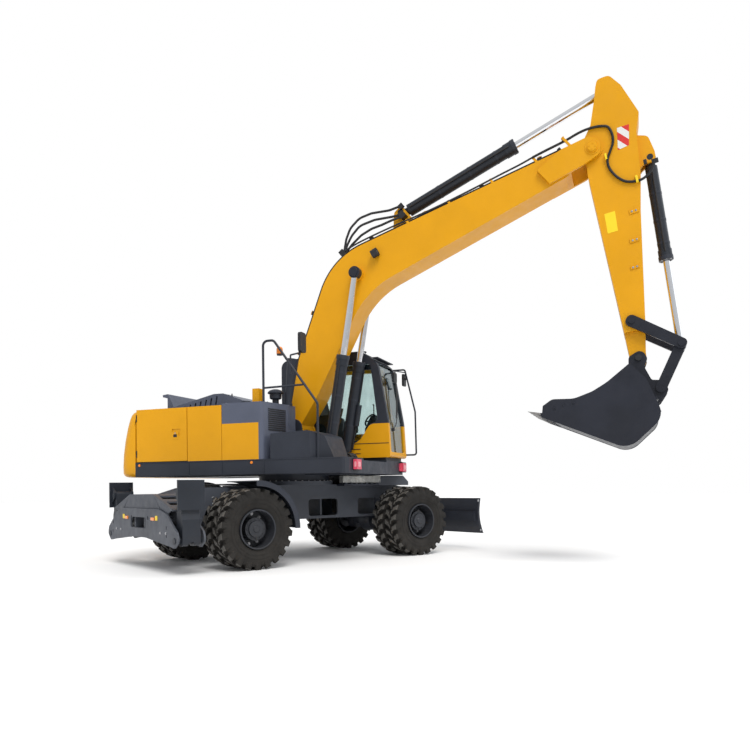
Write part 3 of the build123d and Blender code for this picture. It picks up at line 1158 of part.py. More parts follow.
# Barrel lengths, as the shares of the way to the rod's eye at which their heads were measured
BOOM_BARREL_RUN = 0.5434 * span(BOOM_CYLINDER_BASE, BOOM_EYE)
ARM_BARREL_RUN = 0.5767 * span(ARM_BASE, ARM_EYE)
BUCKET_BARREL_RUN = 0.5341 * span(BUCKET_BASE, ROCKER_END)


def boom_barrels():
    """The pair of lift cylinders' barrels; the left one carries the lowering valve."""
    one = barrel(BOOM_CYLINDER_BASE, BOOM_EYE, BOOM_BARREL, BOOM_ROD, BOOM_BARREL_RUN, 78, 48, 42, 78)
    pair = both(Pos(0, BOOM_CYLINDER_Y, 0) * one)
    foot = Vector(BOOM_CYLINDER_BASE[0], BOOM_CYLINDER_Y - 20, BOOM_CYLINDER_BASE[1])
    way = Vector(BOOM_EYE[0] - BOOM_CYLINDER_BASE[0], 0, BOOM_EYE[1] - BOOM_CYLINDER_BASE[1]).normalized()
    ahead = Vector(way.Z, 0, -way.X)
    valve = foot + ahead * 112
    pair += bar(valve + way * 520, valve + way * 850, 42)
    pair += bar(valve + way * 560 - ahead * 60, valve + way * 560, 22)
    return pair + bar(valve + way * 800 - ahead * 60, valve + way * 800, 22)


def boom_rods():
    one = rod(BOOM_CYLINDER_BASE, BOOM_EYE, BOOM_ROD, BOOM_BARREL_RUN, 480, 85, 48)
    one += cross(BOOM_EYE[0], BOOM_EYE[1], 60, 40, 75)
    return both(Pos(0, BOOM_CYLINDER_Y, 0) * one)


def arm_barrel():
    return barrel(ARM_BASE, ARM_EYE, ARM_BARREL, ARM_ROD, ARM_BARREL_RUN, 80, 60, 45, 104)


def arm_rod():
    return rod(ARM_BASE, ARM_EYE, ARM_ROD, ARM_BARREL_RUN, 500, 80, 60)


def bucket_barrel():
    return barrel(BUCKET_BASE, ROCKER_END, BUCKET_BARREL, BUCKET_ROD, BUCKET_BARREL_RUN, 72, 60, 40, 104)


def bucket_rod():
    eye = rod(BUCKET_BASE, ROCKER_END, BUCKET_ROD, BUCKET_BARREL_RUN, 400, 70, 58)
    return eye + cross(ROCKER_END[0], ROCKER_END[1], 38, -LINK_IN + 2, LINK_IN - 2)


# The boom's top: a rising and a falling straight with an arc between them
TOP_START = (257.0, 500.0)
TOP_CREST = (2081.0, 1566.0)
TOP_END = (5336.0, 300.0)
TOP_ARC = (2168.2, 458.7, 1000.0)
PIPE = 14.0
HOSE = 17.0
PIPE_LIFT = 24.0


def top_height(s):
    """The boom's top at s, by its two straights."""
    a, b = (TOP_START, TOP_CREST) if s < TOP_CREST[0] else (TOP_CREST, TOP_END)
    return a[1] + (s - a[0]) * (b[1] - a[1]) / (b[0] - a[0])


def boom_fittings():
    """Steel pipes clamped along the boom's top, hose loops to the arm cylinder, and the work lamp."""
    body = Pos(5080, 0, top_height(5080) + 40) * Box(60, 400, 20)
    start = (560, top_height(560) + PIPE_LIFT / 0.86)
    crest = (TOP_CREST[0] - 2, TOP_CREST[1] + PIPE_LIFT + 3)
    end = (5335, top_height(5335) + PIPE_LIFT / 0.93)
    for y in (-180, -130, 130, 180):
        body += pipe([(s, y, h) for s, h in (start, crest, end)], PIPE, TOP_ARC[2] + PIPE_LIFT)
    for s in (800, 1350, 2700, 3500, 4300, 5080):
        a, b = (TOP_START, TOP_CREST) if s < TOP_CREST[0] else (TOP_CREST, TOP_END)
        turn = degrees(atan2(b[1] - a[1], b[0] - a[0]))
        clamp = block(-30, 30, 110, 205, SEAT_GAP, 46)
        body += Pos(s, 0, top_height(s)) * Rot(0, -turn, 0) * both(clamp)
    post = block(2210, 2290, -205, -90, 1440, 1575) - cross(TOP_ARC[0], TOP_ARC[1], TOP_ARC[2] + SEAT_GAP, -300, 0)
    body += post + block(5318, 5362, -205, 205, 308, 350)
    side = -105.5 - SEAT_GAP
    body += block(3290, 3365, -150, side, 1385, 1455) + block(3215, 3305, -212, side, 1235, 1330)
    loops = [
        (-127, [(2250, 1530), (2418, 1674), (2569, 1755), (2765, 1765), (2944, 1682), (3166, 1508), (3330, 1428)]),
        (-158, [(2250, 1500), (2380, 1580), (2517, 1634), (2701, 1656), (2921, 1551), (3132, 1391), (3265, 1300)]),
        (-193, [(2250, 1480), (2439, 1510), (2631, 1511), (2806, 1466), (2942, 1398), (3105, 1331), (3240, 1264)]),
    ]
    for y, route in loops:
        body += pipe([(s, y, h) for s, h in route], HOSE, 220)
    lamp = bar((2570, -286, 1120), (2665, -286, 1097), 62) - bar((2630, -286, 1105.5), (2666, -286, 1097), 54)
    return body + lamp + block(2585, 2630, -240, -BOOM_HALF - SEAT_GAP, 1085, 1130)


def export_all():
    os.makedirs("parts", exist_ok=True)
    upper = Rot(0, 0, SLEW)
    boom_place = upper * at(BOOM_FOOT, BOOM_ANGLE)
    arm_place = upper * at(BOOM_TIP, ARM_ANGLE)
    bucket_place = upper * at(BUCKET_PIN, BUCKET_ANGLE)
    nodes = {
        "chassis_frame": chassis_frame(),
        "rear_crossmember": rear_crossmember(),
        "rear_axle": rear_axle(),
        "front_axle": front_axle(),
        "mudguards": mudguards(),
        "blade": blade(),
        "blade_barrels": blade_barrels(),
        "blade_rods": blade_rods(),
    }
    corners = [
        ("rear_right", REAR_AXLE_X, -1), ("rear_left", REAR_AXLE_X, 1),
        ("front_right", FRONT_AXLE_X, -1), ("front_left", FRONT_AXLE_X, 1),
    ]
    tyres = tyre_pair()
    rims = rim()
    for name, x, side in corners:
        hub = rims if side > 0 else mirror(rims, about=Plane.XZ)
        place = Pos(x, side * TRACK_CENTRE, TYRE_RADIUS)
        nodes["tyres_" + name] = place * tyres
        nodes["rims_" + name] = place * hub
    for name, side in (("right", -1), ("left", 1)):
        nodes["knuckle_" + name] = knuckle(side)
        nodes["outrigger_leg_" + name] = outrigger_leg(side)
        nodes["outrigger_foot_" + name] = outrigger_foot(side)
        nodes["outrigger_barrel_" + name] = outrigger_barrel(side)
        nodes["outrigger_rod_" + name] = outrigger_rod(side)
    shell = cab_shell()
    above = {
        "upper_frame": upper_frame(),
        "counterweight": counterweight(),
        "engine_block": engine_block(),
        "door_right": side_door(-1),
        "door_left": side_door(1),
        "side_panels": side_panels(),
        "tank": tank(),
        "beacon": beacon(),
        "hood_deck": hood_deck(),
        "hood": hood(),
        "step_box": step_box(),
        "handrails": handrails(),
        "stacks": stacks(),
        "lamps": lamps(),
        "mirrors": mirrors(),
        "cab_lower": cab_lower(shell),
        "cab_frame": cab_frame(shell),
        "cab_door": cab_door(),
        "cab_door_glass": cab_door_glass(),
        "cab_glass": cab_glass(),
        "cab_interior": cab_interior(),
        "boom_barrels": boom_barrels(),
        "boom_rods": boom_rods(),
        "arm_barrel": arm_barrel(),
        "arm_rod": arm_rod(),
        "bucket_barrel": bucket_barrel(),
        "bucket_rod": bucket_rod(),
        "rocker": at(ROCKER_PIN, ROCKER_ANGLE) * rocker(),
        "link": at(ROCKER_END, LINK_ANGLE) * link(),
    }
    for name, solid in above.items():
        nodes[name] = upper * solid
    nodes["boom"] = boom_place * boom()
    nodes["boom_fittings"] = boom_place * boom_fittings()
    nodes["arm"] = arm_place * arm()
    nodes["bucket"] = bucket_place * bucket()
    for name, solid in nodes.items():
        export_step(solid, "parts/" + name + ".step")
    return nodes


NODES = export_all()
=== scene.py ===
from math import cos, pi, radians, sin

import bmesh
import bpy
from mathutils import Matrix, Vector


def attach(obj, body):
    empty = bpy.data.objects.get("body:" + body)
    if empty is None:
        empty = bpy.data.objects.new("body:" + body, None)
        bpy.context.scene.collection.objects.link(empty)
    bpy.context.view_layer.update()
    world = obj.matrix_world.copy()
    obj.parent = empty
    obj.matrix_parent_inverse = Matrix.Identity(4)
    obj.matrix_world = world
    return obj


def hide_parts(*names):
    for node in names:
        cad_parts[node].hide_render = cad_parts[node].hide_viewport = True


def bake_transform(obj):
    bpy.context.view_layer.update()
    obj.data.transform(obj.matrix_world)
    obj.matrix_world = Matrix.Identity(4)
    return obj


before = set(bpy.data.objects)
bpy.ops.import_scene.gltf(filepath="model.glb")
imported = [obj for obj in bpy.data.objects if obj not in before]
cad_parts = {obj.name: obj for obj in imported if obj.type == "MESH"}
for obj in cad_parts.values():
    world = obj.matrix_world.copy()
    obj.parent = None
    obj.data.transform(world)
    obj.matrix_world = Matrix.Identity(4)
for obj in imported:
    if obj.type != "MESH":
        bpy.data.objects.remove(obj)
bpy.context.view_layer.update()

# Wheeled excavator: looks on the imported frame, in metres.
# Each link is drawn in its own frame: X along it, Y to its left, Z up. The undercarriage is in the world's.
SLEW = radians(-58.6)
BOOM_ANGLE = radians(38.55)
ARM_ANGLE = radians(-79.59)
BUCKET_ANGLE = radians(-154.0)
BOOM_LENGTH = 5.624
ARM_LENGTH = 2.834
WHEELS = {
    "rear_right": (-1.33, -0.94), "rear_left": (-1.33, 0.94),
    "front_right": (1.54, -0.94), "front_left": (1.54, 0.94),
}
TYRE_RADIUS = 0.535
TWIN = 0.16  # from the middle of a pair of tyres to the middle of each
BOOM_FOOT = (0.13, 0, 1.97)
BOOM_EYE_PLACE = (2.222, 1.087)  # upper pin of the boom's cylinders, along the boom and up

# Where trim is seated, at or just clear of the solids' faces
UPPER_SIDE = 1.2702
DECK_TOP = 1.4755
ARM_SIDE = 0.2003
REAR_PLATE = -2.4502
FRAME_TOP = 1.1385


def tilt(angle):
    """Turns X up towards Z by an angle."""
    return Matrix.Rotation(-angle, 4, "Y")


GROUND = Matrix.Identity(4)
UPPER = Matrix.Rotation(SLEW, 4, "Z")
BOOM = UPPER @ Matrix.Translation(BOOM_FOOT) @ tilt(BOOM_ANGLE)
ARM = BOOM @ Matrix.Translation((BOOM_LENGTH, 0, 0)) @ tilt(ARM_ANGLE - BOOM_ANGLE)
BUCKET = ARM @ Matrix.Translation((ARM_LENGTH, 0, 0)) @ tilt(BUCKET_ANGLE - ARM_ANGLE)


# Camera, as fitted: focal length and centre in pixels of the square picture, yaw, pitch and roll in degrees
PICTURE = 750
FOCAL = 717.14
CENTRE = (368.19, 474.08)
CAMERA_AT = (-5.9639, -9.4995, 1.065)
CAMERA_TURN = (38.02, 1.05, -0.77)


def put(name, data):
    """A new object in the scene."""
    made = bpy.data.objects.new(name, data)
    bpy.context.scene.collection.objects.link(made)
    return made


def set_camera():
    camera = bpy.data.cameras.new("camera")
    camera.sensor_width = 36.0
    camera.lens = 36.0 * FOCAL / PICTURE
    camera.shift_x = (PICTURE / 2 - CENTRE[0]) / PICTURE
    camera.shift_y = (CENTRE[1] - PICTURE / 2) / PICTURE
    camera.clip_end = 200.0
    yaw, pitch, roll = (radians(angle) for angle in CAMERA_TURN)
    ahead = Vector((sin(yaw) * cos(pitch), cos(yaw) * cos(pitch), sin(pitch)))
    right = Vector((cos(yaw), -sin(yaw), 0))
    up = right.cross(ahead)
    right, up = right * cos(roll) + up * sin(roll), up * cos(roll) - right * sin(roll)
    turn = Matrix((right, up, -ahead)).transposed().to_4x4()
    holder = put("camera", camera)
    holder.matrix_world = Matrix.Translation(CAMERA_AT) @ turn
    bpy.context.scene.camera = holder


set_camera()
bpy.context.scene.view_settings.view_transform = "Standard"


# Materials
DUST = (0.20, 0.17, 0.135)


def node(tree, kind, **values):
    """A new node, with its input sockets set by in_ names and its own properties by plain ones."""
    made = tree.nodes.new(kind)
    for key, value in values.items():
        if key.startswith("in_"):
            made.inputs[key[3:].replace("_", " ")].default_value = value
        else:
            setattr(made, key, value)
    return made


def ramp(tree, source, stops):
    """A colour ramp fed by a socket; stops are (place, colour)."""
    made = tree.nodes.new("ShaderNodeValToRGB")
    rows = made.color_ramp.elements
    while len(rows) < len(stops):
        rows.new(0.5)
    for row, (place, colour) in zip(rows, stops):
        row.position = place
        row.color = (*colour, 1) if len(colour) == 3 else colour
    tree.links.new(source, made.inputs["Fac"])
    return made.outputs["Color"]


def grey(value):
    return (value, value, value)


def mix(tree, factor, a, b):
    made = tree.nodes.new("ShaderNodeMix")
    made.data_type = "RGBA"
    for socket, value in ((made.inputs[0], factor), (made.inputs[6], a), (made.inputs[7], b)):
        if isinstance(value, bpy.types.NodeSocket):
            tree.links.new(value, socket)
        else:
            socket.default_value = (*value, 1) if isinstance(value, tuple) else value
    return made.outputs[2]


def begin(name):
    """A new material with its node tree, and the place on the object that its patterns follow."""
    material = bpy.data.materials.new(name)
    material.use_nodes = True
    tree = material.node_tree
    return material, tree, tree.nodes.new("ShaderNodeTexCoord").outputs["Object"]


def surface(name, base, rough, metallic=0.0, tone=0.2, dust=0.0, dust_top=1.2, dust_colour=DUST, grain=220.0,
            bump=0.001, chips=0.0, chip_colour=(0.06, 0.06, 0.07), coat=0.0, scale=1.6, shine=0.32):
    """Paint, rubber or metal: drifting tone, dust that thickens towards the ground, chips and fine grain."""
    material, tree, place = begin(name)
    link = tree.links.new
    shader = tree.nodes["Principled BSDF"]

    def field(size, detail=4.0, roughness=0.55):
        made = node(tree, "ShaderNodeTexNoise", in_Scale=size, in_Detail=detail, in_Roughness=roughness)
        link(place, made.inputs["Vector"])
        return made.outputs["Fac"]

    slow = field(scale)
    low = tuple(c * (1 - tone) for c in base)
    high = tuple(min(1.0, c * (1 + tone)) for c in base)
    colour = ramp(tree, slow, [(0.3, low), (0.7, high)])
    if dust > 0:
        parts = tree.nodes.new("ShaderNodeSeparateXYZ")
        link(place, parts.inputs[0])
        fall = node(tree, "ShaderNodeMapRange", in_From_Min=0.1, in_From_Max=dust_top, in_To_Min=dust,
                    in_To_Max=0.0)
        link(parts.outputs["Z"], fall.inputs["Value"])
        cloud = ramp(tree, field(7.0, 8.0, 0.7), [(0.35, grey(0.15)), (0.75, grey(1.0))])
        amount = node(tree, "ShaderNodeMath", operation="MULTIPLY", use_clamp=True)
        link(fall.outputs[0], amount.inputs[0])
        link(cloud, amount.inputs[1])
        colour = mix(tree, amount.outputs[0], colour, dust_colour)
    if chips > 0:
        spots = ramp(tree, field(34.0, 9.0, 0.75), [(0.68 - 0.05 * chips, grey(0.0)), (0.72, grey(chips))])
        colour = mix(tree, spots, colour, chip_colour)
    link(colour, shader.inputs["Base Color"])
    smooth, dull = max(0.04, rough - 0.08), min(1.0, rough + 0.10)
    gloss = ramp(tree, field(9.0, 6.0), [(0.3, grey(smooth)), (0.7, grey(dull))])
    link(gloss, shader.inputs["Roughness"])
    values = {"Metallic": metallic, "Specular IOR Level": shine, "Coat Weight": coat, "Coat Roughness": 0.15}
    for socket, value in values.items():
        shader.inputs[socket].default_value = value
    relief = node(tree, "ShaderNodeBump", in_Strength=0.25, in_Distance=bump)
    link(field(grain, 2.0), relief.inputs["Height"])
    link(relief.outputs["Normal"], shader.inputs["Normal"])
    return material


def glass(name, tint, rough=0.02, least=0.05, most=0.62):
    """Tinted glass with a faint smear. Its reflection goes from least, seen straight on, to least + most."""
    material, tree, place = begin(name)
    link = tree.links.new
    tree.nodes.remove(tree.nodes["Principled BSDF"])
    out = tree.nodes["Material Output"]
    smear = node(tree, "ShaderNodeTexNoise", in_Scale=5.0, in_Detail=6.0)
    link(place, smear.inputs["Vector"])
    clear = tree.nodes.new("ShaderNodeBsdfTransparent")
    deeper = tuple(c * 0.94 for c in tint)
    link(ramp(tree, smear.outputs["Fac"], [(0.3, tint), (0.7, deeper)]), clear.inputs["Color"])
    shine = node(tree, "ShaderNodeBsdfGlossy", in_Color=(0.9, 0.95, 0.95, 1))
    gloss = ramp(tree, smear.outputs["Fac"], [(0.3, grey(rough)), (0.8, grey(rough + 0.05))])
    link(gloss, shine.inputs["Roughness"])
    edge = node(tree, "ShaderNodeLayerWeight", in_Blend=0.5)
    steep = node(tree, "ShaderNodeMath", operation="POWER")
    steep.inputs[1].default_value = 2.0
    link(edge.outputs["Facing"], steep.inputs[0])
    share = node(tree, "ShaderNodeMath", operation="MULTIPLY_ADD")
    share.inputs[1].default_value = most
    share.inputs[2].default_value = least
    link(steep.outputs[0], share.inputs[0])
    joined = tree.nodes.new("ShaderNodeMixShader")
    link(share.outputs[0], joined.inputs[0])
    link(clear.outputs[0], joined.inputs[1])
    link(shine.outputs[0], joined.inputs[2])
    link(joined.outputs[0], out.inputs["Surface"])
    return material


M = {
    "yellow": surface("yellow_paint", (0.69, 0.320, 0.0045), 0.38, tone=0.045, dust=0.08, dust_top=2.0,
                      coat=0.06, shine=0.22),
    "slate": surface("slate_paint", (0.022, 0.026, 0.037), 0.46, tone=0.18, dust=0.06, dust_top=1.3),
    # Painted light: slate made lighter for the tank and hood, standing in for the light that their upward
    # faces catch
    "slate_with_painted_light": surface("slate_with_painted_light_paint", (0.086, 0.098, 0.138), 0.36, tone=0.12, dust=0.04, dust_top=1.6,
                          coat=0.1),
    "steel_slate": surface("cylinder_slate", (0.015, 0.019, 0.027), 0.42, dust=0.05),
    "frame_slate": surface("frame_slate_paint", (0.068, 0.076, 0.094), 0.48, tone=0.16, dust=0.12),
    "dark": surface("dark_paint", (0.022, 0.023, 0.026), 0.5),
    "navy": surface("navy_paint", (0.012, 0.014, 0.022), 0.42, tone=0.28, bump=0.002, chips=0.25),
    "worn": surface("worn_steel", (0.30, 0.29, 0.28), 0.36, metallic=0.85, tone=0.25, scale=14.0, bump=0.002),
    "chrome": surface("chrome", (0.78, 0.79, 0.81), 0.10, metallic=1.0, tone=0.03, bump=0.0005),
    "steel": surface("bolt_steel", (0.42, 0.42, 0.43), 0.35, metallic=0.9, tone=0.15, scale=20.0),
    "rubber": surface("tyre_rubber", (0.0125, 0.0115, 0.0105), 0.80, tone=0.25, dust=0.22, dust_top=1.15,
                      dust_colour=(0.085, 0.072, 0.058), bump=0.003, scale=5.0),
    "lug_top": surface("tyre_lug_face", (0.088, 0.083, 0.076), 0.60, tone=0.35, dust=0.15, dust_top=1.15,
                       dust_colour=(0.12, 0.10, 0.08), bump=0.003, scale=9.0),
    "rim": surface("rim_paint", (0.024, 0.027, 0.034), 0.45, dust=0.08),
    "engine": surface("engine_grey", (0.12, 0.12, 0.12), 0.6, tone=0.3, bump=0.004),
    "plastic": surface("cab_plastic", (0.030, 0.031, 0.034), 0.6, bump=0.002, grain=500.0),
    "fabric": surface("seat_fabric", (0.045, 0.047, 0.055), 0.9, tone=0.3, bump=0.003, grain=900.0),
    "hose": surface("hose_rubber", (0.014, 0.014, 0.015), 0.5, grain=600.0),
    "brown_hose": surface("hose_brown", (0.085, 0.050, 0.030), 0.55, grain=600.0),
    "pipe": surface("pipe_black", (0.020, 0.020, 0.022), 0.35, tone=0.15, bump=0.0005),
    "pink": surface("lamp_core", (0.82, 0.32, 0.36), 0.16, tone=0.12, bump=0.002, grain=90.0, coat=0.6),
    "red_lens": surface("lamp_lens", (0.70, 0.075, 0.13), 0.16, tone=0.12, bump=0.002, grain=90.0, coat=0.6),
    "amber": surface("beacon_lens", (0.85, 0.24, 0.015), 0.14, tone=0.15, bump=0.002, grain=80.0, coat=0.6),
    "white": surface("plate_white", (0.72, 0.72, 0.70), 0.4, tone=0.04, bump=0.0005),
    "red": surface("plate_red", (0.62, 0.035, 0.03), 0.4, tone=0.06, bump=0.0005),
    "sign": surface("plate_yellow", (0.86, 0.62, 0.02), 0.4, tone=0.04, bump=0.0005),
    "tread": surface("tread_alloy", (0.52, 0.52, 0.50), 0.45, metallic=0.6, scale=12.0, bump=0.004, dust=0.3,
                     dust_colour=(0.16, 0.13, 0.10)),
    "mirror": surface("mirror_glass", (0.75, 0.78, 0.80), 0.04, metallic=1.0, tone=0.03, bump=0.0002),
    "lamp_glass": surface("lamp_glass", (0.62, 0.63, 0.62), 0.15, tone=0.12, metallic=0.4, bump=0.003,
                          grain=160.0, coat=0.8),
    "pane": glass("window_glass", (0.86, 0.925, 0.92)),
}

LOOKS = {
    "yellow": [
        "counterweight", "door_right", "door_left", "side_panels", "cab_lower", "cab_door", "boom", "arm",
    ],
    "slate": [
        "rear_axle", "front_axle", "knuckle_right", "knuckle_left", "mudguards", "handrails", "stacks",
        "blade", "upper_frame", "step_box", "hood_deck", "cab_frame",
    ],
    "steel_slate": ["blade_barrels", "boom_barrels", "arm_barrel", "bucket_barrel"] + [
        f"outrigger_{part}_{side}" for part in ("leg", "foot", "barrel") for side in ("right", "left")
    ],
    # Tank and hood take the slate with painted light on their upward faces
    "slate_with_painted_light": ["tank", "hood"],
    "frame_slate": ["chassis_frame", "rear_crossmember"],
    "dark": ["mirrors"],
    "navy": ["bucket", "rocker", "link"],
    "chrome": [
        "blade_rods", "boom_rods", "arm_rod", "bucket_rod", "outrigger_rod_right", "outrigger_rod_left",
    ],
    "rubber": ["tyres_" + corner for corner in WHEELS],
    "rim": ["rims_" + corner for corner in WHEELS],
    "engine": ["engine_block"],
    "red_lens": ["lamps"],
    "amber": ["beacon"],
    "pane": ["cab_glass", "cab_door_glass"],
    "plastic": ["cab_interior"],
    "pipe": ["boom_fittings"],
}
for look, names in LOOKS.items():
    for name in names:
        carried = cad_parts[name]
        if not carried.material_slots:
            carried.data.materials.append(M[look])
        for held in carried.material_slots:
            held.material = M[look]


# Mesh building
# Faces of a block whose eight corners are listed along its first way, then its second, then its third
BLOCK = [(0, 1, 3, 2), (4, 6, 7, 5), (0, 4, 5, 1), (2, 3, 7, 6), (0, 2, 6, 4), (1, 5, 7, 3)]


def turns(count, whole=False):
    """Angles at equal steps once round, with the end again if whole."""
    return [2 * pi * i / count for i in range(count + whole)]


def circles(rows, way, sides):
    """Points on circles square to a way; rows are (centre, radius)."""
    across = way.orthogonal().normalized()
    other = way.cross(across)
    return [
        centre + (across * cos(turn) + other * sin(turn)) * radius
        for centre, radius in rows
        for turn in turns(sides)
    ]


def skin(rows, count, hollow=False):
    """Faces over rows of points, each once round: capped at both ends, or closed on the first if hollow."""
    last = (rows - 1) * count
    faces = []
    for low in range(0, last + count * hollow, count):
        high = (low + count) % (rows * count)
        for k in range(count):
            n = (k + 1) % count
            faces.append((low + k, low + n, high + n, high + k))
    if not hollow:
        faces += [tuple(range(count - 1, -1, -1)), tuple(range(last, last + count))]
    return faces


class Piece:
    """Collects forms drawn in one link's frame, and becomes one mesh that rides a body."""

    def __init__(self, place=GROUND):
        self.mesh = bmesh.new()
        self.place = place
        self.kinds = []
        self.kind = 0

    def use(self, kind):
        """Forms from here on take this material."""
        if kind not in self.kinds:
            self.kinds.append(kind)
        self.kind = self.kinds.index(kind)
        return self

    def add(self, points, faces):
        made = [self.mesh.verts.new(p) for p in points]
        for face in faces:
            new = self.mesh.faces.new([made[i] for i in face])
            new.material_index = self.kind

    def box(self, x0, x1, y0, y1, z0, z1):
        points = [(x, y, z) for x in (x0, x1) for y in (y0, y1) for z in (z0, z1)]
        self.add(points, BLOCK)

    def slab(self, outline, y0, y1):
        """An outline in X and Z, thick along Y."""
        points = [(u, y, v) for y in (y0, y1) for u, v in outline]
        self.add(points, skin(2, len(outline)))

    def rod(self, start, end, radius, end_radius=None, sides=24):
        """A round bar or cone between two points."""
        a, b = Vector(start), Vector(end)
        rows = ((a, radius), (b, radius if end_radius is None else end_radius))
        self.add(circles(rows, (b - a).normalized(), sides), skin(2, sides))

    def ring(self, start, end, inner, outer, sides=48):
        """A hollow round bar between two points."""
        a, b = Vector(start), Vector(end)
        rows = ((a, inner), (a, outer), (b, outer), (b, inner))
        self.add(circles(rows, (b - a).normalized(), sides), skin(4, sides, hollow=True))

    def tube(self, points, radius, sides=14, steps=8):
        """A smooth tube through the points."""
        path = smooth_path([Vector(p) for p in points], steps)
        across = (path[1] - path[0]).orthogonal().normalized()
        rings = []
        for i, here in enumerate(path):
            way = (path[min(i + 1, len(path) - 1)] - path[max(i - 1, 0)]).normalized()
            across = (across - way * across.dot(way)).normalized()
            other = way.cross(across)
            rings += [here + (across * cos(turn) + other * sin(turn)) * radius for turn in turns(sides)]
        self.add(rings, skin(len(path), sides))

    def bolt(self, at, way, radius=0.012, height=0.01):
        """A hexagon head on a washer."""
        a, w = Vector(at), Vector(way).normalized()
        self.rod(a, a + w * height * 0.3, radius * 1.35, sides=16)
        self.rod(a, a + w * height, radius, radius * 0.94, sides=6)

    def done(self, name, body, slot, smooth=32, bevel=0.0):
        """Closes the mesh as one named object on a body, smooth up to an angle in degrees."""
        bmesh.ops.transform(self.mesh, matrix=self.place, verts=self.mesh.verts)
        bmesh.ops.recalc_face_normals(self.mesh, faces=self.mesh.faces)
        data = bpy.data.meshes.new(name)
        self.mesh.to_mesh(data)
        self.mesh.free()
        for kind in self.kinds:
            data.materials.append(M[kind])
        data.polygons.foreach_set("use_smooth", [True] * len(data.polygons))
        data.set_sharp_from_angle(angle=radians(smooth))
        made = put(name, data)
        if bevel > 0:
            rounding = made.modifiers.new("rounding", "BEVEL")
            rounding.width = bevel
            rounding.segments = 2
            rounding.limit_method = "ANGLE"
            rounding.angle_limit = radians(40)
        if body:
            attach(made, body)
        return made


def smooth_path(points, steps):
    """Points along a smooth curve through the given ones."""
    run = [points[0] * 2 - points[1], *points, points[-1] * 2 - points[-2]]
    path = []
    for i in range(1, len(run) - 2):
        a, b, c, d = run[i - 1:i + 3]
        for k in range(steps):
            t = k / steps
            bend = (2 * a - 5 * b + 4 * c - d) * t * t
            path.append(0.5 * (2 * b + (c - a) * t + bend + (3 * b - a - 3 * c + d) * t ** 3))
    path.append(points[-1])
    return path


# Tyres: a round casing with a ribbed tread of staggered lugs that run over its shoulders
LUGS = 22
TURNS = 264
TREAD = 0.118
HALF_SECTION = 0.1385
LUG_LIFT = 0.0415
# Half the section from bead to crown: across, out, and how far the lugs carry the point outwards and sideways
PROFILE = [
    (0.1000, 0.266, 0, 0), (0.1110, 0.272, 0, 0), (0.1170, 0.296, 0, 0), (0.1270, 0.335, 0, 0),
    (0.1340, 0.375, 0, 0), (0.1345, 0.410, 0, 0), (0.1300, 0.438, 0, 0.0004), (0.1240, 0.458, 0.006, 0.0120),
    (0.1180, 0.478, 0.024, 0.0160), (0.1120, 0.488, 0.038, 0.0150), (0.1020, 0.492, LUG_LIFT, 0.0060),
] + [(across, 0.493, LUG_LIFT, 0) for across in (0.0800, 0.0560, 0.0330, 0.0280, 0.0120, 0.0)]


def lug_height(turn, y):
    """How far the tread stands up, 0 in a groove and 1 on a lug; blocks are long at the shoulders."""
    side = 0.0 if y > 0 else 0.5
    lean = 0.35 * abs(y) / TREAD
    phase = (turn * LUGS / (2 * pi) + side + lean) % 1.0
    if abs(y) < 0.030:
        return 0.92 if 0.30 < phase < 0.80 else 0.0
    return 1.0 if 0.04 < phase < 0.60 else 0.0


def about(x, y, far, turn):
    """The point at a distance and an angle round an axle."""
    return x + far * cos(turn), y, TYRE_RADIUS + far * sin(turn)


def tyre_points(x, y):
    """The points of one tyre about its axle, and which of them are on the face of a lug."""
    profile = PROFILE + [(-v, r, out, wide) for v, r, out, wide in reversed(PROFILE[:-1])]
    points, lifted = [], []
    for turn in turns(TURNS):
        for v, r, out, wide in profile:
            up = lug_height(turn, v) if out else 0.0
            far = r + out * up
            across = v + (wide * up if v > 0 else -wide * up)
            across = max(-HALF_SECTION, min(HALF_SECTION, across))
            points.append(about(x, y + across, far, turn))
            lifted.append(up > 0.5 and far > 0.52)
    return points, lifted


def circle(x, y, radius, count):
    """A closed row of points round an axle."""
    return [about(x, y, radius, turn) for turn in turns(count, whole=True)]


def tyre_piece(corner, x, y):
    piece = Piece()
    count = 2 * len(PROFILE) - 1
    for offset in (-TWIN, TWIN):
        points, lifted = tyre_points(x, y + offset)
        groove, crown = [], []
        for i in range(TURNS):
            n = (i + 1) % TURNS
            for k in range(count):
                m = (k + 1) % count
                face = (i * count + k, n * count + k, n * count + m, i * count + m)
                (crown if all(lifted[j] for j in face) else groove).append(face)
        made = [piece.mesh.verts.new(p) for p in points]
        for kind, faces in (("rubber", groove), ("lug_top", crown)):
            piece.use(kind)
            for face in faces:
                piece.mesh.faces.new([made[j] for j in face]).material_index = piece.kind
        piece.use("rubber")
        for side in (-1, 1):
            for rib, wall in ((0.345, 0.1298), (0.392, 0.1352)):
                piece.tube(circle(x, y + offset + side * wall, rib, 72), 0.0028, sides=6, steps=1)
    made = piece.done("tyre_pair_" + corner, "wheels_" + corner, "tyre", smooth=24)
    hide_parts("tyres_" + corner)


def wheel_trim(corner, x, y):
    """Nuts, hub bolts and cap, and the flange rings on the outside of each pair of rims."""
    side = 1 if y > 0 else -1
    piece = Piece().use("steel")
    for turn in turns(10):
        piece.bolt(about(x, y + side * 0.0645, 0.2, turn + 0.2), (0, side, 0), 0.016, 0.022)
    piece.use("rim")
    for turn in turns(12):
        piece.bolt(about(x, y + side * 0.2152, 0.128, turn), (0, side, 0), 0.009, 0.009)
    for depth, flange, thick in ((0.288, 0.2585, 0.006), (0.200, 0.2475, 0.004)):
        piece.tube(circle(x, y + side * depth, flange, 60), thick, sides=8, steps=1)
    piece.rod((x, y + side * 0.2402, TYRE_RADIUS), (x, y + side * 0.252, TYRE_RADIUS), 0.05, 0.04, sides=32)
    piece.done("wheel_trim_" + corner, "wheels_" + corner, "rim_paint")


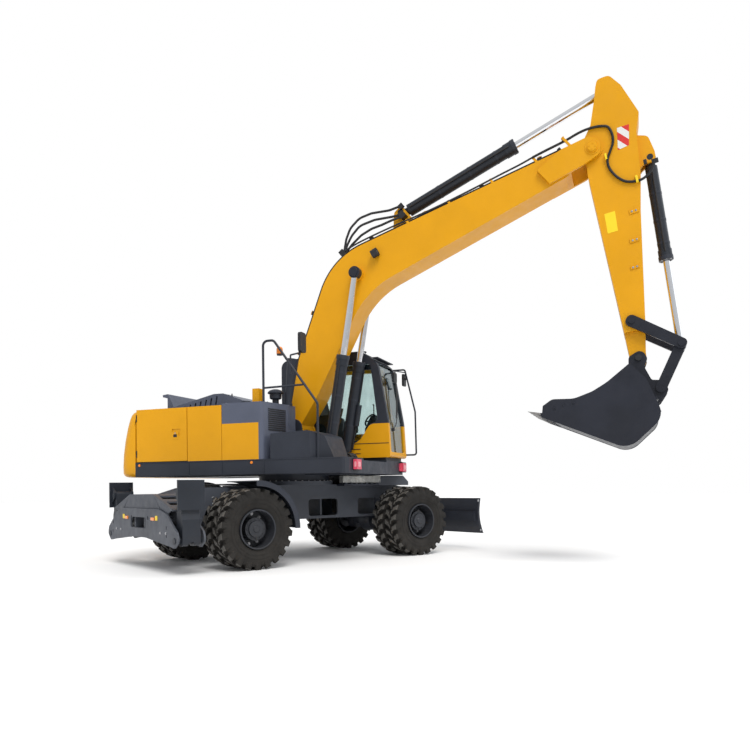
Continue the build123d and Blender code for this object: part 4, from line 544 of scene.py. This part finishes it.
for corner, (x, y) in WHEELS.items():
    tyre_piece(corner, x, y)
    wheel_trim(corner, x, y)


# Hoses and pipes of boom and arm, as (along, across, up) in the boom's frame
TIP_HOSE = [
    (5.033, -0.222, 0.502), (5.200, -0.222, 0.445), (5.456, -0.222, 0.352), (5.650, -0.222, 0.296),
    (5.779, -0.222, 0.235), (5.888, -0.222, 0.150), (5.937, -0.222, 0.055), (5.861, -0.222, -0.115),
    (5.652, -0.226, -0.262), (5.593, -0.224, -0.430), (5.626, -0.222, -0.628), (5.758, -0.222, -0.754),
    (5.904, -0.222, -0.765), (6.043, -0.216, -0.691),
]
BOOM_PIPE = [
    (2.300, 0.2125, 1.512), (2.552, 0.2125, 1.440), (2.975, 0.2125, 1.276), (3.616, 0.2125, 1.005),
    (4.167, 0.2125, 0.800), (4.587, 0.2125, 0.655), (4.854, 0.2135, 0.560), (5.040, 0.2220, 0.500),
]


def tip_hose():
    """The hose over the joint of boom and arm."""
    piece = Piece(BOOM)
    piece.use("hose").tube(TIP_HOSE, 0.0165)
    near = piece.done("tip_hose", None, "pipe_black")
    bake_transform(near)


def boom_pipes():
    """The pipes along the boom's edges, with their posts."""
    piece = Piece(BOOM)
    piece.use("yellow").box(5.440, 5.470, -0.268, -0.2365, 0.150, 0.395)
    piece.box(5.436, 5.474, -0.268, -0.2065, 0.384, 0.400)
    for s, h in ((5.033, 0.505), (4.45, 0.705), (3.85, 0.918), (3.25, 1.165)):
        piece.box(s - 0.016, s + 0.016, -0.2185, -0.2065, h - 0.17, h + 0.012)
    piece.use("pipe")
    for side in (-1, 1):
        piece.tube([(s, side * across, h) for s, across, h in BOOM_PIPE], 0.0125)
    piece.done("boom_pipes", "boom", "pipe_black", bevel=0.001)


def hose_clips():
    """What holds the hose on the arm."""
    piece = Piece(ARM)
    piece.use("pipe").box(0.385, 0.445, -0.222, -ARM_SIDE, 0.655, 0.735)
    piece.box(0.36, 0.42, -0.23, -ARM_SIDE, 0.56, 0.60)
    piece.use("sign").box(0.53, 0.62, -0.2450, -ARM_SIDE, 0.425, 0.455)
    piece.box(0.12, 0.20, -0.2450, -ARM_SIDE, 0.125, 0.150)
    piece.done("hose_clips", "arm", "yellow_paint", bevel=0.003)


tip_hose()
boom_pipes()
hose_clips()


# Striped plate on the arm: its corners, and the width and slant of a stripe as shares of the plate
PLATE = [Vector((-0.170, 0.344)), Vector((-0.167, 0.494)), Vector((0.101, 0.439)), Vector((0.117, 0.299))]
STRIPE = 0.36
SLANT = 0.55


def striped(low, high):
    """The part of the unit square between two slanting lines."""
    shape = [(0.0, 0.0), (1.0, 0.0), (1.0, 1.0), (0.0, 1.0)]
    for limit, sign in ((low, 1), (high, -1)):
        kept = []
        for i, here in enumerate(shape):
            after = shape[(i + 1) % len(shape)]
            a = sign * (here[0] - SLANT * here[1] - limit)
            b = sign * (after[0] - SLANT * after[1] - limit)
            if a >= 0:
                kept.append(here)
            if a * b < 0:
                share = a / (a - b)
                kept.append((here[0] + share * (after[0] - here[0]), here[1] + share * (after[1] - here[1])))
        shape = kept
    return shape


def arm_plates():
    """The striped plate and the blank yellow one, on both sides of the arm."""
    piece = Piece(ARM)
    for side in (-1, 1):
        y0, y1 = side * ARM_SIDE, side * 0.2024
        for k, colour in enumerate(("red", "white") * 3):
            band = striped(STRIPE * k - SLANT, STRIPE * (k + 1) - SLANT)
            if len(band) > 2:
                outline = [PLATE[0].lerp(PLATE[3], u).lerp(PLATE[1].lerp(PLATE[2], u), v) for u, v in band]
                piece.use(colour).slab(outline, y0, y1)
        piece.use("sign").slab([(0.885, -0.03), (0.885, 0.105), (1.15, 0.09), (1.15, -0.04)], y0, y1)
    piece.done("arm_plates", "arm", "yellow_paint")


def arm_brackets():
    """Bolted pads on the arm's right side, and the caps of the bucket's pin."""
    piece = Piece(ARM).use("yellow")
    for s0, s1, h0, h1 in ((0.935, 0.99, 0.268, 0.385), (1.31, 1.36, 0.20, 0.315), (1.66, 1.70, 0.14, 0.25)):
        piece.box(s0, s1, -0.212, -ARM_SIDE, h0, h1)
    piece.use("steel")
    for s, h in ((0.962, 0.30), (0.962, 0.35), (1.335, 0.235), (1.335, 0.285), (1.68, 0.17), (1.68, 0.22)):
        piece.bolt((s, -0.212, h), (0, -1, 0), 0.010, 0.010)
    piece.use("dark")
    for side in (-1, 1):
        piece.rod((ARM_LENGTH, side * 0.1705, 0), (ARM_LENGTH, side * 0.2005, 0), 0.040, sides=32)
    piece.done("arm_brackets", "arm", "yellow_paint", bevel=0.002)


def boom_pin_caps():
    """The caps of the pin between boom and arm."""
    piece = Piece(BOOM).use("yellow")
    for side in (-1, 1):
        piece.rod((BOOM_LENGTH, side * 0.3002, 0), (BOOM_LENGTH, side * 0.312, 0), 0.062, 0.056, sides=36)
        piece.rod((BOOM_LENGTH, side * 0.2755, 0), (BOOM_LENGTH, side * 0.283, 0), 0.098, 0.094, sides=40)
        for turn in turns(4):
            turn += pi / 4
            at = (BOOM_LENGTH + 0.036 * cos(turn), side * 0.312, 0.036 * sin(turn))
            piece.bolt(at, (0, side, 0), 0.007, 0.007)
    piece.done("boom_pin_caps", "boom", "yellow_paint")


def lift_eyes():
    """Dark sleeves and caps on the upper pin of the boom's cylinders."""
    s, h = BOOM_EYE_PLACE
    piece = Piece(BOOM).use("navy")
    for side in (-1, 1):
        piece.rod((s, side * 0.2745, h), (s, side * 0.3715, h), 0.0868, sides=40)
        piece.rod((s, side * 0.3972, h), (s, side * 0.4060, h), 0.063, 0.058, sides=36)
    piece.done("lift_eyes", "boom_rods", "chrome", bevel=0.002)


def work_lamp_lens():
    piece = Piece(BOOM)
    way = Vector((0.095, 0, -0.023)).normalized()
    seat = Vector((2.642, -0.286, 1.1026))
    piece.use("lamp_glass").rod(seat, seat + way * 0.012, 0.0535, 0.049, sides=36)
    piece.done("work_lamp_lens", "boom", "lamp_lens")


arm_plates()
arm_brackets()
boom_pin_caps()
lift_eyes()
work_lamp_lens()

# The boom's upper edge, as (along, up): two straight runs that meet at its knee
BOOM_BACK = [(0.257, 0.500), (2.081, 1.566), (5.336, 0.300)]
CLAMPS = (0.8, 1.35, 2.7, 3.5, 4.3, 5.08)
PIPE_LANE = 0.1575


def boom_back(s):
    """A point of the boom's upper edge above s, with the ways along it and up from it."""
    knee = BOOM_BACK[1]
    a, b = BOOM_BACK[:2] if s < knee[0] else BOOM_BACK[1:]
    slope = (b[1] - a[1]) / (b[0] - a[0])
    along, up = Vector((1, 0, slope)).normalized(), Vector((-slope, 0, 1)).normalized()
    return Vector((s, 0, a[1] + (s - a[0]) * slope)), along, up


def pipe_clamps():
    """Yellow saddle clamps over the boom's pipes, each with two bolts."""
    piece = Piece(BOOM).use("yellow")
    for s in CLAMPS:
        seat, along, up = boom_back(s)
        for side in (-1, 1):
            middle = seat + Vector((0, side * PIPE_LANE, 0)) + up * 0.0462
            piece.add([
                middle + along * u + Vector((0, v, 0)) + up * w
                for u in (-0.032, 0.032)
                for v in (-0.052, 0.052)
                for w in (0.0002, 0.008)
            ], BLOCK)
    piece.use("steel")
    for s in CLAMPS:
        seat, along, up = boom_back(s)
        for side in (-1, 1):
            for v in (-0.04, 0.04):
                piece.bolt(seat + Vector((0, side * PIPE_LANE + v, 0)) + up * 0.0542, up, 0.008, 0.008)
    piece.done("pipe_clamps", "boom", "yellow_paint", bevel=0.002)


pipe_clamps()


# Upper structure
def panel_trim():
    """Latches and hinge pins of the side doors, and the skirt's reflectors and seams."""
    for side, body in ((-1, "door_right"), (1, "door_left")):
        door = Piece(UPPER)
        door.use("yellow").box(-1.335, -1.225, side * UPPER_SIDE, side * 1.2735, 1.800, 1.905)
        door.use("dark").box(-1.312, -1.250, side * 1.2736, side * 1.2750, 1.830, 1.872)
        door.use("steel").bolt((-1.281, side * 1.2750, 1.888), (0, side, 0), 0.008, 0.006)
        for z in (1.60, 2.13):
            ends = [(-1.965, side * UPPER_SIDE, z + rise) for rise in (-0.05, 0.05)]
            door.use("dark").rod(*ends, 0.009, sides=16)
        door.done(body + "_latch", body, "yellow_paint", bevel=0.002)
    piece = Piece(UPPER).use("amber")
    for x in (-1.917, -0.024):
        for side in (-1, 1):
            piece.rod((x, side * UPPER_SIDE, 1.431), (x, side * 1.2770, 1.431), 0.021, 0.018, sides=28)
    piece.done("skirt_reflectors", "upper", "lamp_lens")
    seams = Piece(UPPER).use("slate")
    for z in (1.2725, 1.4655):
        for side in (-1, 1):
            seams.box(-1.98, 1.32, side * UPPER_SIDE, side * 1.2765, z - 0.006, z + 0.006)
    for x in (-1.05, -0.5, 0.17):
        seams.box(x - 0.006, x + 0.006, -1.2765, -UPPER_SIDE, 1.28, 1.458)
    seams.done("skirt_trim", "upper", "slate_paint", bevel=0.002)


panel_trim()


def hood_top(x):
    """Height of the hood's sloping top."""
    return 2.361 + (x + 1.785) * 0.2247


def hood_trim():
    """The hood's dark vents and bolts, with a grab bar on each side."""
    piece = Piece(UPPER).use("dark")
    for i in range(8):
        x = -1.74 + i * 0.082
        z = hood_top(x)
        piece.add([
            (x + u, y, z + lift + height)
            for u, lift in ((0.0, 0.0), (0.048, 0.0108))
            for y in (-0.45, 0.45)
            for height in (0.0015, 0.010)
        ], BLOCK)
    piece.use("steel")
    for x in (-1.70, -1.40, -1.12):
        for y in (-0.56, 0.56):
            piece.bolt((x, y, hood_top(x)), (-0.22, 0, 1), 0.010, 0.008)
    for side in (-1, 1):
        piece.use("dark").tube([
            (-1.55, side * 0.6002, 2.30), (-1.55, side * 0.622, 2.305), (-1.50, side * 0.628, 2.305),
            (-1.30, side * 0.628, 2.305), (-1.25, side * 0.622, 2.305), (-1.25, side * 0.6002, 2.30),
        ], 0.008)
    piece.done("hood_trim", "hood", "dark_paint")


def hood_screens():
    """Upright bars behind the hood's louvres."""
    piece = Piece(UPPER).use("dark")
    for i in range(18):
        x = -1.72 + i * 0.056
        for y0, y1 in ((-0.560, -0.556), (0.556, 0.560)):
            piece.box(x, x + 0.02, y0, y1, 2.285, 2.33 + i * 0.011)
    piece.done("hood_screens", "hood", "dark_paint")


hood_trim()
hood_screens()

FILLER = (-0.25, -1.0, 2.3085)


def tank_trim():
    """The filler's ribbed cap, grooves drawn as dark strips of painted shade and bolts on tank and step box,
    and the grille on the tank's front.
    """
    piece = Piece(UPPER).use("slate")
    x, y, z = FILLER
    piece.rod(FILLER, (x, y, 2.325), 0.068, 0.060, sides=36)
    for turn in turns(12):
        rib = x + 0.066 * cos(turn), y + 0.066 * sin(turn)
        piece.rod((*rib, z), (*rib, 2.322), 0.007, sides=8)
    piece.use("dark")
    # Painted shade: the grooves on tank and step box are dark strips laid on the surface, not cut into it
    for k in range(5):
        y = -1.18 + k * 0.028
        piece.box(-0.02, 0.13, y, y + 0.014, 2.2782, 2.283)
    for k in range(9):
        x = 0.32 + k * 0.055
        low, high = (1.8265, 1.832) if x < 0.6 else (1.8268, 1.8335)
        piece.box(x, x + 0.026, -1.15, -0.62, low, high)
    out = Vector((0.9819, -0.1895, 0))
    for k in range(11):
        z = 1.885 + k * 0.029
        piece.add([
            Vector((x, y, z + rise)) + out * depth
            for x, y in ((0.175, -1.14), (0.2484, -0.76))
            for depth in (0.0004, 0.009)
            for rise in (0.0, 0.017)
        ], BLOCK)
    piece.use("steel")
    for x, y in ((-0.45, -1.22), (-0.45, -0.52), (0.1, -0.52), (0.1, -1.22)):
        piece.bolt((x, y, 2.2782), (0, 0, 1), 0.011, 0.009)
    piece.done("tank_trim", "upper", "slate_paint", bevel=0.0015)


def cab_trim():
    """Wiper arms, visor, roof rails, grooves below the right window drawn as dark strips of painted shade,
    and the floor's edge.
    """
    piece = Piece(UPPER).use("dark")
    wiper = [(1.440, 0.60, 1.965), (1.432, 0.78, 2.10), (1.395, 0.95, 2.42), (1.362, 1.02, 2.62)]
    piece.tube(wiper, 0.007, sides=8)
    piece.tube([(1.421, 0.80, 2.16), (1.378, 0.96, 2.50), (1.330, 1.05, 2.76)], 0.009, sides=8)
    piece.rod((1.41, 0.60, 1.965), (1.455, 0.60, 1.965), 0.026, sides=20)
    # Painted shade: dark strips on the cab's side stand in for the shade in its grooves
    for z in (1.585, 1.655):
        piece.box(-0.40, 0.95, 0.4240, 0.4278, z, z + 0.012)
    piece.box(-0.41, 1.42, 0.4240, 0.4278, 1.742, 1.752)
    piece.box(-0.38, 1.355, 0.46, 1.225, DECK_TOP, 1.5245)
    piece.use("slate").box(1.15, 1.24, 0.47, 1.22, 3.085, 3.10)
    for y in (0.52, 1.17):
        piece.tube([(1.02, y, 3.184), (0.95, y, 3.205), (0.2, y, 3.2055), (0.1, y, 3.184)], 0.011, sides=10)
    piece.done("cab_trim", "upper", "slate_paint", bevel=0.0015)


def lamp_lenses():
    """The corner lamps: dark housing, red lens and pale core."""
    piece = Piece(UPPER)
    piece.use("dark").box(1.3968, 1.449, -1.022, -0.850, 1.298, 1.462)
    piece.box(1.3968, 1.449, 1.020, 1.190, 1.298, 1.462)
    piece.use("red_lens").box(1.405, 1.460, -1.028, -0.862, 1.312, 1.448)
    piece.box(1.405, 1.460, 1.014, 1.178, 1.312, 1.448)
    piece.use("pink").box(1.4602, 1.463, -0.990, -0.900, 1.345, 1.415)
    piece.box(1.4602, 1.463, 1.052, 1.140, 1.345, 1.415)
    piece.box(1.418, 1.450, -1.0305, -1.0281, 1.345, 1.415)
    piece.done("lamp_lenses", "upper", "lamp_lens", bevel=0.004)


def cab_door_handle():
    """The grab handle, the latch and the hinge strip of the cab's door."""
    wall = 1.2602
    piece = Piece(UPPER)
    piece.use("dark").tube([
        (0.86, wall, 2.05), (0.86, 1.295, 2.05), (0.86, 1.30, 2.10), (0.86, 1.30, 2.40), (0.86, 1.295, 2.45),
        (0.86, wall, 2.45),
    ], 0.010, sides=10)
    piece.box(0.98, 1.06, wall, 1.285, 1.86, 1.90)
    piece.box(0.30, 0.34, wall, 1.268, 1.70, 1.93)
    piece.done("cab_door_handle", "cab_door", "dark_paint", bevel=0.002)


def cab_consoles():
    """The lining under the right window and the console ahead of the driver."""
    piece = Piece(UPPER).use("plastic")
    lining = [(-0.33, 1.60), (-0.33, 2.20), (0.42, 2.235), (0.60, 2.18), (0.66, 1.60)]
    ahead = [(0.90, 1.60), (0.92, 2.00), (1.02, 2.20), (1.10, 2.22), (1.12, 2.02), (1.16, 1.60)]
    piece.slab(lining, 0.492, 0.512)
    piece.slab(ahead, 0.70, 0.98)
    piece.done("cab_consoles", "upper", "cab_plastic", bevel=0.006)


tank_trim()
cab_trim()
lamp_lenses()
cab_door_handle()
cab_consoles()

SEAT_Y = 0.844


def pad(piece, centre, u_half, v_half, u_way, v_way, rise=0.050, count=14):
    """A crowned cushion with two sewn channels."""
    out = u_way.cross(v_way).normalized()
    points = []
    for i in range(count + 1):
        for k in range(count + 1):
            u, v = 2 * i / count - 1, 2 * k / count - 1
            crown = (1 - abs(u) ** 3.5) * (1 - abs(v) ** 3.5)
            seam = 0.20 * max(0.0, 1 - abs(abs(u) - 0.55) / 0.08)
            lift = out * rise * (crown - seam * crown)
            points.append(centre + u_way * (u * u_half) + v_way * (v * v_half) + lift)
    row = count + 1
    piece.add(points, [
        (i * row + k, i * row + k + 1, (i + 1) * row + k + 1, (i + 1) * row + k)
        for i in range(count)
        for k in range(count)
    ])


def seat_padding():
    """The driver's seat over the plain solid, switches on the consoles, and the steering wheel."""
    piece = Piece(UPPER).use("fabric")
    ahead, left = Vector((1, 0, 0)), Vector((0, 1, 0))
    up_back = Vector((-0.185, 0, 0.70)).normalized()
    pad(piece, Vector((0.36, SEAT_Y, 2.0403)), 0.235, 0.225, ahead, left)
    pad(piece, Vector((0.136, SEAT_Y, 2.42)), 0.28, 0.215, up_back, left)
    piece.use("plastic")
    for k in range(3):
        for y0, y1 in ((0.515, 0.575), (1.115, 1.170)):
            piece.box(0.45 + 0.05 * k, 0.475 + 0.05 * k, y0, y1, 2.1802, 2.189)
    hub = Vector((0.965, SEAT_Y, 2.15))
    around = turns(32, whole=True)
    rim = [hub + Vector((0.06 * cos(turn), 0.17 * sin(turn), 0.088 * cos(turn))) for turn in around]
    piece.tube(rim, 0.013, sides=10, steps=1)
    piece.rod((0.975, SEAT_Y, 2.12), hub, 0.035, sides=20)
    for turn in (0, 2.1, 4.2):
        spoke = Vector((0.058 * cos(turn), 0.165 * sin(turn), 0.085 * cos(turn)))
        piece.rod(hub, hub + spoke, 0.010, sides=8)
    made = piece.done("driver_seat", "upper", "cab_plastic", smooth=40)


seat_padding()


def mirror_faces():
    """The bright faces of the three mirrors."""
    piece = Piece(UPPER).use("mirror")
    piece.box(0.6165, 0.6218, -1.072, -0.928, 2.985, 3.215)
    piece.box(1.3745, 1.3778, 1.262, 1.378, 2.752, 2.918)
    piece.box(1.3515, 1.3548, 0.848, 0.962, 2.756, 2.884)
    piece.done("mirror_faces", "upper", "dark_paint", bevel=0.001)


mirror_faces()


# Counterweight in its frame: height, how far its back stands in, and how far its sides stand in
TAIL_LEVELS = [
    (1.2602, 0.075, 0.060), (1.272, 0.036, 0.030), (1.292, 0.014, 0.010), (1.320, 0.002, 0.001),
    (1.42, 0.0, 0.0), (1.60, 0.012, 0.001), (1.80, 0.048, 0.003), (2.00, 0.105, 0.006), (2.12, 0.150, 0.010),
    (2.19, 0.182, 0.020), (2.228, 0.212, 0.040), (2.250, 0.245, 0.068), (2.2590, 0.285, 0.105),
]
TAIL_FRONT = -1.9903
TAIL_HALF = 1.2698
TAIL_ROUND = 0.24


def tail_ring(z, back, inset):
    """The counterweight's outline at one height, from its right front round its bulging back."""
    flat = TAIL_HALF - TAIL_ROUND
    ring = [(TAIL_FRONT, -TAIL_HALF + inset)]
    for i in range(11):
        turn = pi / 2 * i / 10
        ring.append((-2.095 + back * 0.8 - TAIL_ROUND * sin(turn), -flat + inset - TAIL_ROUND * cos(turn)))
    mirrored = [(x, -y) for x, y in reversed(ring)]
    for i in range(1, 16):
        y = -flat + 2 * flat * i / 16
        ring.append((-2.335 + back * 0.8 - (0.118 - 0.02 * back) * cos(pi * y / (2 * flat)), y))
    return [(x, y, z) for x, y in ring + mirrored]


def tail_block():
    """The counterweight, cast in one: round at its corners and edges and drawn in towards its top."""
    points = [point for level in TAIL_LEVELS for point in tail_ring(*level)]
    piece = Piece(UPPER).use("yellow")
    piece.add(points, skin(len(TAIL_LEVELS), len(points) // len(TAIL_LEVELS)))
    made = piece.done("tail_block", "upper", "yellow_paint", smooth=40)
    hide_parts("counterweight")


def tail_trim():
    """Lifting eyes on the counterweight, and a mark at its seam."""
    piece = Piece(UPPER).use("yellow")
    for y in (-0.62, 0.62):
        loop = [(-2.14, y, 2.250), (-2.14, y, 2.31), (-2.10, y, 2.335), (-2.06, y, 2.31), (-2.06, y, 2.250)]
        piece.tube(loop, 0.014, sides=10)
    piece.use("dark").box(-1.9905, -1.9885, -1.2705, -1.2690, 1.62, 1.63)
    piece.done("tail_trim", "upper", "yellow_paint")


tail_block()
tail_trim()


# Undercarriage

# Side view of a hump on the frame's front
HUMP = [(1.17, 1.093), (1.25, 1.222), (1.36, 1.248), (1.72, 1.248), (1.83, 1.15), (1.83, 1.093)]
# The cover plates on the rear crossmember's slope, as (across, up)
SIDE_COVER = [(0.66, 0.825), (0.918, 0.763), (1.038, 0.825), (0.432, 1.0085)]
MIDDLE_COVER = [(-0.648, 0.8225), (0.648, 0.8225), (0.43, 1.0085), (-0.43, 1.0085)]
COVER_FACE = -2.4248
COVER_THICK = 0.012
# Hoses along the frame, as (along, across, up)
REAR_LINE = [
    (-2.05, 0.20, 0.92), (-1.75, 0.24, 1.102), (-1.3, 0.26, 1.1285), (-0.9, 0.30, 1.1285),
    (-0.66, 0.33, 1.1285),
]
BLADE_LINE = [
    (0.70, 0.16, 1.128), (1.2, 0.15, 1.128), (1.75, 0.15, 1.112), (2.05, 0.125, 1.065), (2.16, 0.12, 1.062),
]


def chassis_trim():
    """Bolts round the swing bearing, on frame and rear plate, and the plate's signs and reflectors."""
    piece = Piece().use("steel")
    for turn in turns(36):
        piece.bolt((0.575 * cos(turn), 0.575 * sin(turn), 1.1702), (0, 0, 1), 0.012, 0.012)
    for x in (-1.55, -1.1, 1.5, 1.6):
        for z in (0.86, 0.95):
            for side in (-1, 1):
                piece.bolt((x, side * 0.3702, z), (0, side, 0), 0.013, 0.012)
    for y in (-0.9, -0.72, 0.72, 0.9):
        piece.bolt((REAR_PLATE, y, 0.52), (-1, 0, 0), 0.013, 0.010)
    piece.use("sign")
    for side in (1, -1):
        piece.box(-2.4565, REAR_PLATE, side * 0.565, side * 0.630, 0.675, 0.735)
    piece.use("amber")
    for side in (-1, 1):
        piece.box(-2.4640, REAR_PLATE, side * 0.425, side * 0.535, 0.672, 0.712)
    piece.done("chassis_trim", "chassis", "slate_paint", bevel=0.0015)


def step_tread():
    """The ribbed alloy tread beside the swing bearing, the dark deck within it, and the two humps ahead."""
    piece = Piece()
    piece.use("tread").box(0.505, 1.245, -0.598, -0.500, FRAME_TOP, 1.2440)
    for i in range(26):
        x = 0.510 + i * 0.0285
        piece.box(x, x + 0.013, -0.6045, -0.5965, 1.1400, 1.2420)
        piece.box(x, x + 0.013, -0.600, -0.500, 1.2435, 1.2490)
    piece.use("dark").box(0.66, 1.20, -0.44, 0.30, FRAME_TOP, 1.248)
    piece.use("frame_slate").slab(HUMP, -0.60, -0.22)
    piece.slab(HUMP, 0.22, 0.60)
    piece.done("step_tread", "chassis", "slate_paint", bevel=0.004)


def rear_cover():
    """Plates on the slope of the rear crossmember."""
    piece = Piece().use("frame_slate")
    for outline in ([(-y, z) for y, z in SIDE_COVER], SIDE_COVER, MIDDLE_COVER):
        piece.add([(x, y, z) for x in (COVER_FACE, COVER_FACE + COVER_THICK) for y, z in outline], skin(2, 4))
    piece.done("rear_cover", "chassis", "slate_paint", bevel=0.003)


def chassis_hoses():
    piece = Piece().use("hose")
    for side in (-1, 1):
        for line in (REAR_LINE, BLADE_LINE):
            piece.tube([(x, side * y, z) for x, y, z in line], 0.012)
    piece.done("chassis_hoses", "chassis", "pipe_black")


def blade_trim():
    """The worn cutting edge, and bolts on the ends of the board."""
    piece = Piece()
    piece.use("worn").box(2.870, 2.9048, -1.249, 1.249, 0.2775, 0.292)
    piece.use("steel")
    for side in (-1, 1):
        for x, z in ((2.79, 0.82), (2.84, 0.33)):
            piece.bolt((x, side * 1.2502, z), (0, side, 0), 0.014, 0.010)
    piece.done("blade_trim", "blade", "slate_paint")


chassis_trim()
step_tread()
rear_cover()
chassis_hoses()
blade_trim()


# Cylinders
def upper_point(place, s, h):
    """A point of a link at rest, in the upper structure's frame."""
    return UPPER.inverted() @ (place @ Vector((s, 0, h)))


ROCKER_REACH = 0.672
ROCKER_ANGLE = radians(-29.7)
BOOM_BASE = Vector((0.733, 0, 1.520))
BOOM_EYE = upper_point(BOOM, *BOOM_EYE_PLACE)
ARM_BASE = upper_point(BOOM, 3.268, 1.373)
ARM_EYE = upper_point(ARM, -0.799, 0.299)
BUCKET_BASE = upper_point(ARM, 0.299, 0.659)
ROCKER_PIN = upper_point(ARM, 2.353, 0.013)
ROCKER_END = ROCKER_PIN + Vector((cos(ROCKER_ANGLE), 0, sin(ROCKER_ANGLE))) * ROCKER_REACH


def cylinder_trim(body, start, end, run, radius, sides):
    """A gland ring with its bolts, a pipe and three bands on each barrel of a body."""
    piece = Piece(UPPER)
    way = (end - start).normalized()
    out = Vector((way.z, 0, -way.x))
    for y in sides:
        foot = start + Vector((0, y, 0))
        head = foot + way * run
        piece.use("slate").ring(head - way * 0.03, head + way * 0.0255, radius - 0.004, radius + 0.0150)
        piece.use("steel")
        for turn in turns(8):
            off = (out * cos(turn) + Vector((0, sin(turn), 0))) * (radius + 0.002)
            piece.bolt(head + way * 0.0256 + off, way, 0.009, 0.006)
        lane = Vector((0, -radius - 0.014, 0)) if y <= 0 else out * (radius + 0.014)
        stations = ((0.17, 0.9), (0.22, 1.0), (run * 0.5, 1.0), (run - 0.14, 1.0), (run - 0.08, 0.9))
        piece.use("pipe").tube([foot + way * far + lane * share for far, share in stations], 0.011, sides=10)
        for share in (0.35, 0.62, 0.85):
            at = foot + way * (run * share)
            ends = at - way * 0.014, at + way * 0.014
            piece.use("slate").ring(*ends, radius - 0.004, radius + 0.003, sides=40)
    piece.done(body + "_trim", body, "slate_paint")


cylinder_trim("boom_barrels", BOOM_BASE, BOOM_EYE, 1.48, 0.084, (-0.322, 0.322))
cylinder_trim("arm_barrel", ARM_BASE, ARM_EYE, 1.79, 0.090, (0,))
cylinder_trim("bucket_barrel", BUCKET_BASE, ROCKER_END, 1.33, 0.076, (0,))


def bucket_trim():
    """Worn tooth points, wear bars on the bucket's back and bolts on its sides."""
    piece = Piece(BUCKET).use("worn")
    for i in range(5):
        y = (i - 2) * 0.2525
        point = [(1.385, 0.090), (1.5195, -0.0045), (1.425, 0.118), (1.398, 0.148)]
        piece.slab(point, y - 0.0488, y + 0.0488)
    piece.use("navy")
    for h, s in ((0.60, 0.075), (0.75, 0.115)):
        piece.box(s - 0.018, s + 0.012, -0.53, 0.53, h - 0.02, h + 0.02)
    for side in (-1, 1):
        for s, h in ((1.20, 0.12), (1.08, 0.14), (0.96, 0.175)):
            piece.bolt((s, side * 0.5602, h), (0, side, 0), 0.015, 0.013)
    piece.done("bucket_wear", "bucket", "navy_paint")


bucket_trim()


def foot_hoses():
    """Hoses on the deck ahead of the boom's foot, and the brown pair beside the right lift cylinder."""
    piece = Piece(UPPER)
    for k, y in enumerate((-0.10, -0.04, 0.04, 0.10)):
        piece.use("hose").tube([
            (1.02 - 0.02 * k, y, DECK_TOP), (1.01, y, 1.52), (0.97, y, 1.565), (0.90, y * 1.1, 1.58),
            (0.82, y * 1.2, 1.565), (0.78, y * 1.2, 1.52), (0.775, y * 1.2, DECK_TOP),
        ], 0.014)
    for x in (0.905, 0.945):
        piece.use("brown_hose").tube([
            (x, -0.17, DECK_TOP), (x + 0.005, -0.172, 1.54), (x - 0.02, -0.175, 1.60),
            (x - 0.075, -0.180, 1.59), (x - 0.10, -0.185, 1.53), (x - 0.105, -0.185, DECK_TOP),
        ], 0.016)
        piece.use("steel").rod((x + 0.002, -0.1705, 1.495), (x + 0.004, -0.1715, 1.525), 0.021, sides=6)
    piece.done("deck_hoses", "upper", "pipe_black")


foot_hoses()


# Floor and light
def world_light():
    """A pale sky that lights the part and is seen as plain white, with two soft suns."""
    world = bpy.data.worlds.new("world")
    bpy.context.scene.world = world
    world.use_nodes = True
    tree = world.node_tree
    link = tree.links.new
    tree.nodes.clear()
    out = tree.nodes.new("ShaderNodeOutputWorld")
    seen = node(tree, "ShaderNodeBackground", in_Color=(1, 1, 1, 1))
    lit = node(tree, "ShaderNodeBackground", in_Strength=0.72)
    facing = tree.nodes.new("ShaderNodeTexCoord").outputs["Generated"]
    parts = tree.nodes.new("ShaderNodeSeparateXYZ")
    link(facing, parts.inputs[0])
    heights = [(0.0, (0.72, 0.73, 0.75)), (0.35, (0.90, 0.92, 0.95)), (1.0, (1.0, 1.0, 1.0))]
    sky = ramp(tree, parts.outputs["Z"], heights)
    link(sky, lit.inputs["Color"])
    path = tree.nodes.new("ShaderNodeLightPath")
    either = node(tree, "ShaderNodeMath", operation="MAXIMUM")
    link(path.outputs["Is Camera Ray"], either.inputs[0])
    link(path.outputs["Is Transmission Ray"], either.inputs[1])
    joined = tree.nodes.new("ShaderNodeMixShader")
    link(either.outputs[0], joined.inputs[0])
    link(lit.outputs[0], joined.inputs[1])
    link(seen.outputs[0], joined.inputs[2])
    link(joined.outputs[0], out.inputs["Surface"])
    for name, way, energy, angle, colour in (
        ("key", (-0.35, -0.80, 1.15), 2.1, 30, (1.0, 0.985, 0.96)),
        ("fill", (0.95, -0.55, 0.75), 0.7, 60, (0.93, 0.96, 1.0)),
    ):
        lamp = bpy.data.lights.new(name, "SUN")
        lamp.energy = energy
        lamp.angle = radians(angle)
        lamp.color = colour
        holder = put(name, lamp)
        holder.rotation_mode = "QUATERNION"
        holder.rotation_quaternion = Vector(way).normalized().to_track_quat("Z", "Y")


world_light()


def floor():
    """A plain pale floor with a faint cloud in its tone."""
    material, tree, place = begin("floor")
    shader = tree.nodes["Principled BSDF"]
    cloud = node(tree, "ShaderNodeTexNoise", in_Scale=0.4, in_Detail=3.0)
    tree.links.new(place, cloud.inputs["Vector"])
    tone = ramp(tree, cloud.outputs["Fac"], [(0.3, grey(0.90)), (0.7, grey(0.93))])
    tree.links.new(tone, shader.inputs["Base Color"])
    shader.inputs["Roughness"].default_value = 0.9
    data = bpy.data.meshes.new("floor")
    data.from_pydata([(-60, -60, 0), (60, -60, 0), (60, 60, 0), (-60, 60, 0)], [], [(0, 1, 2, 3)])
    data.materials.append(material)
    made = put("floor", data)


floor()
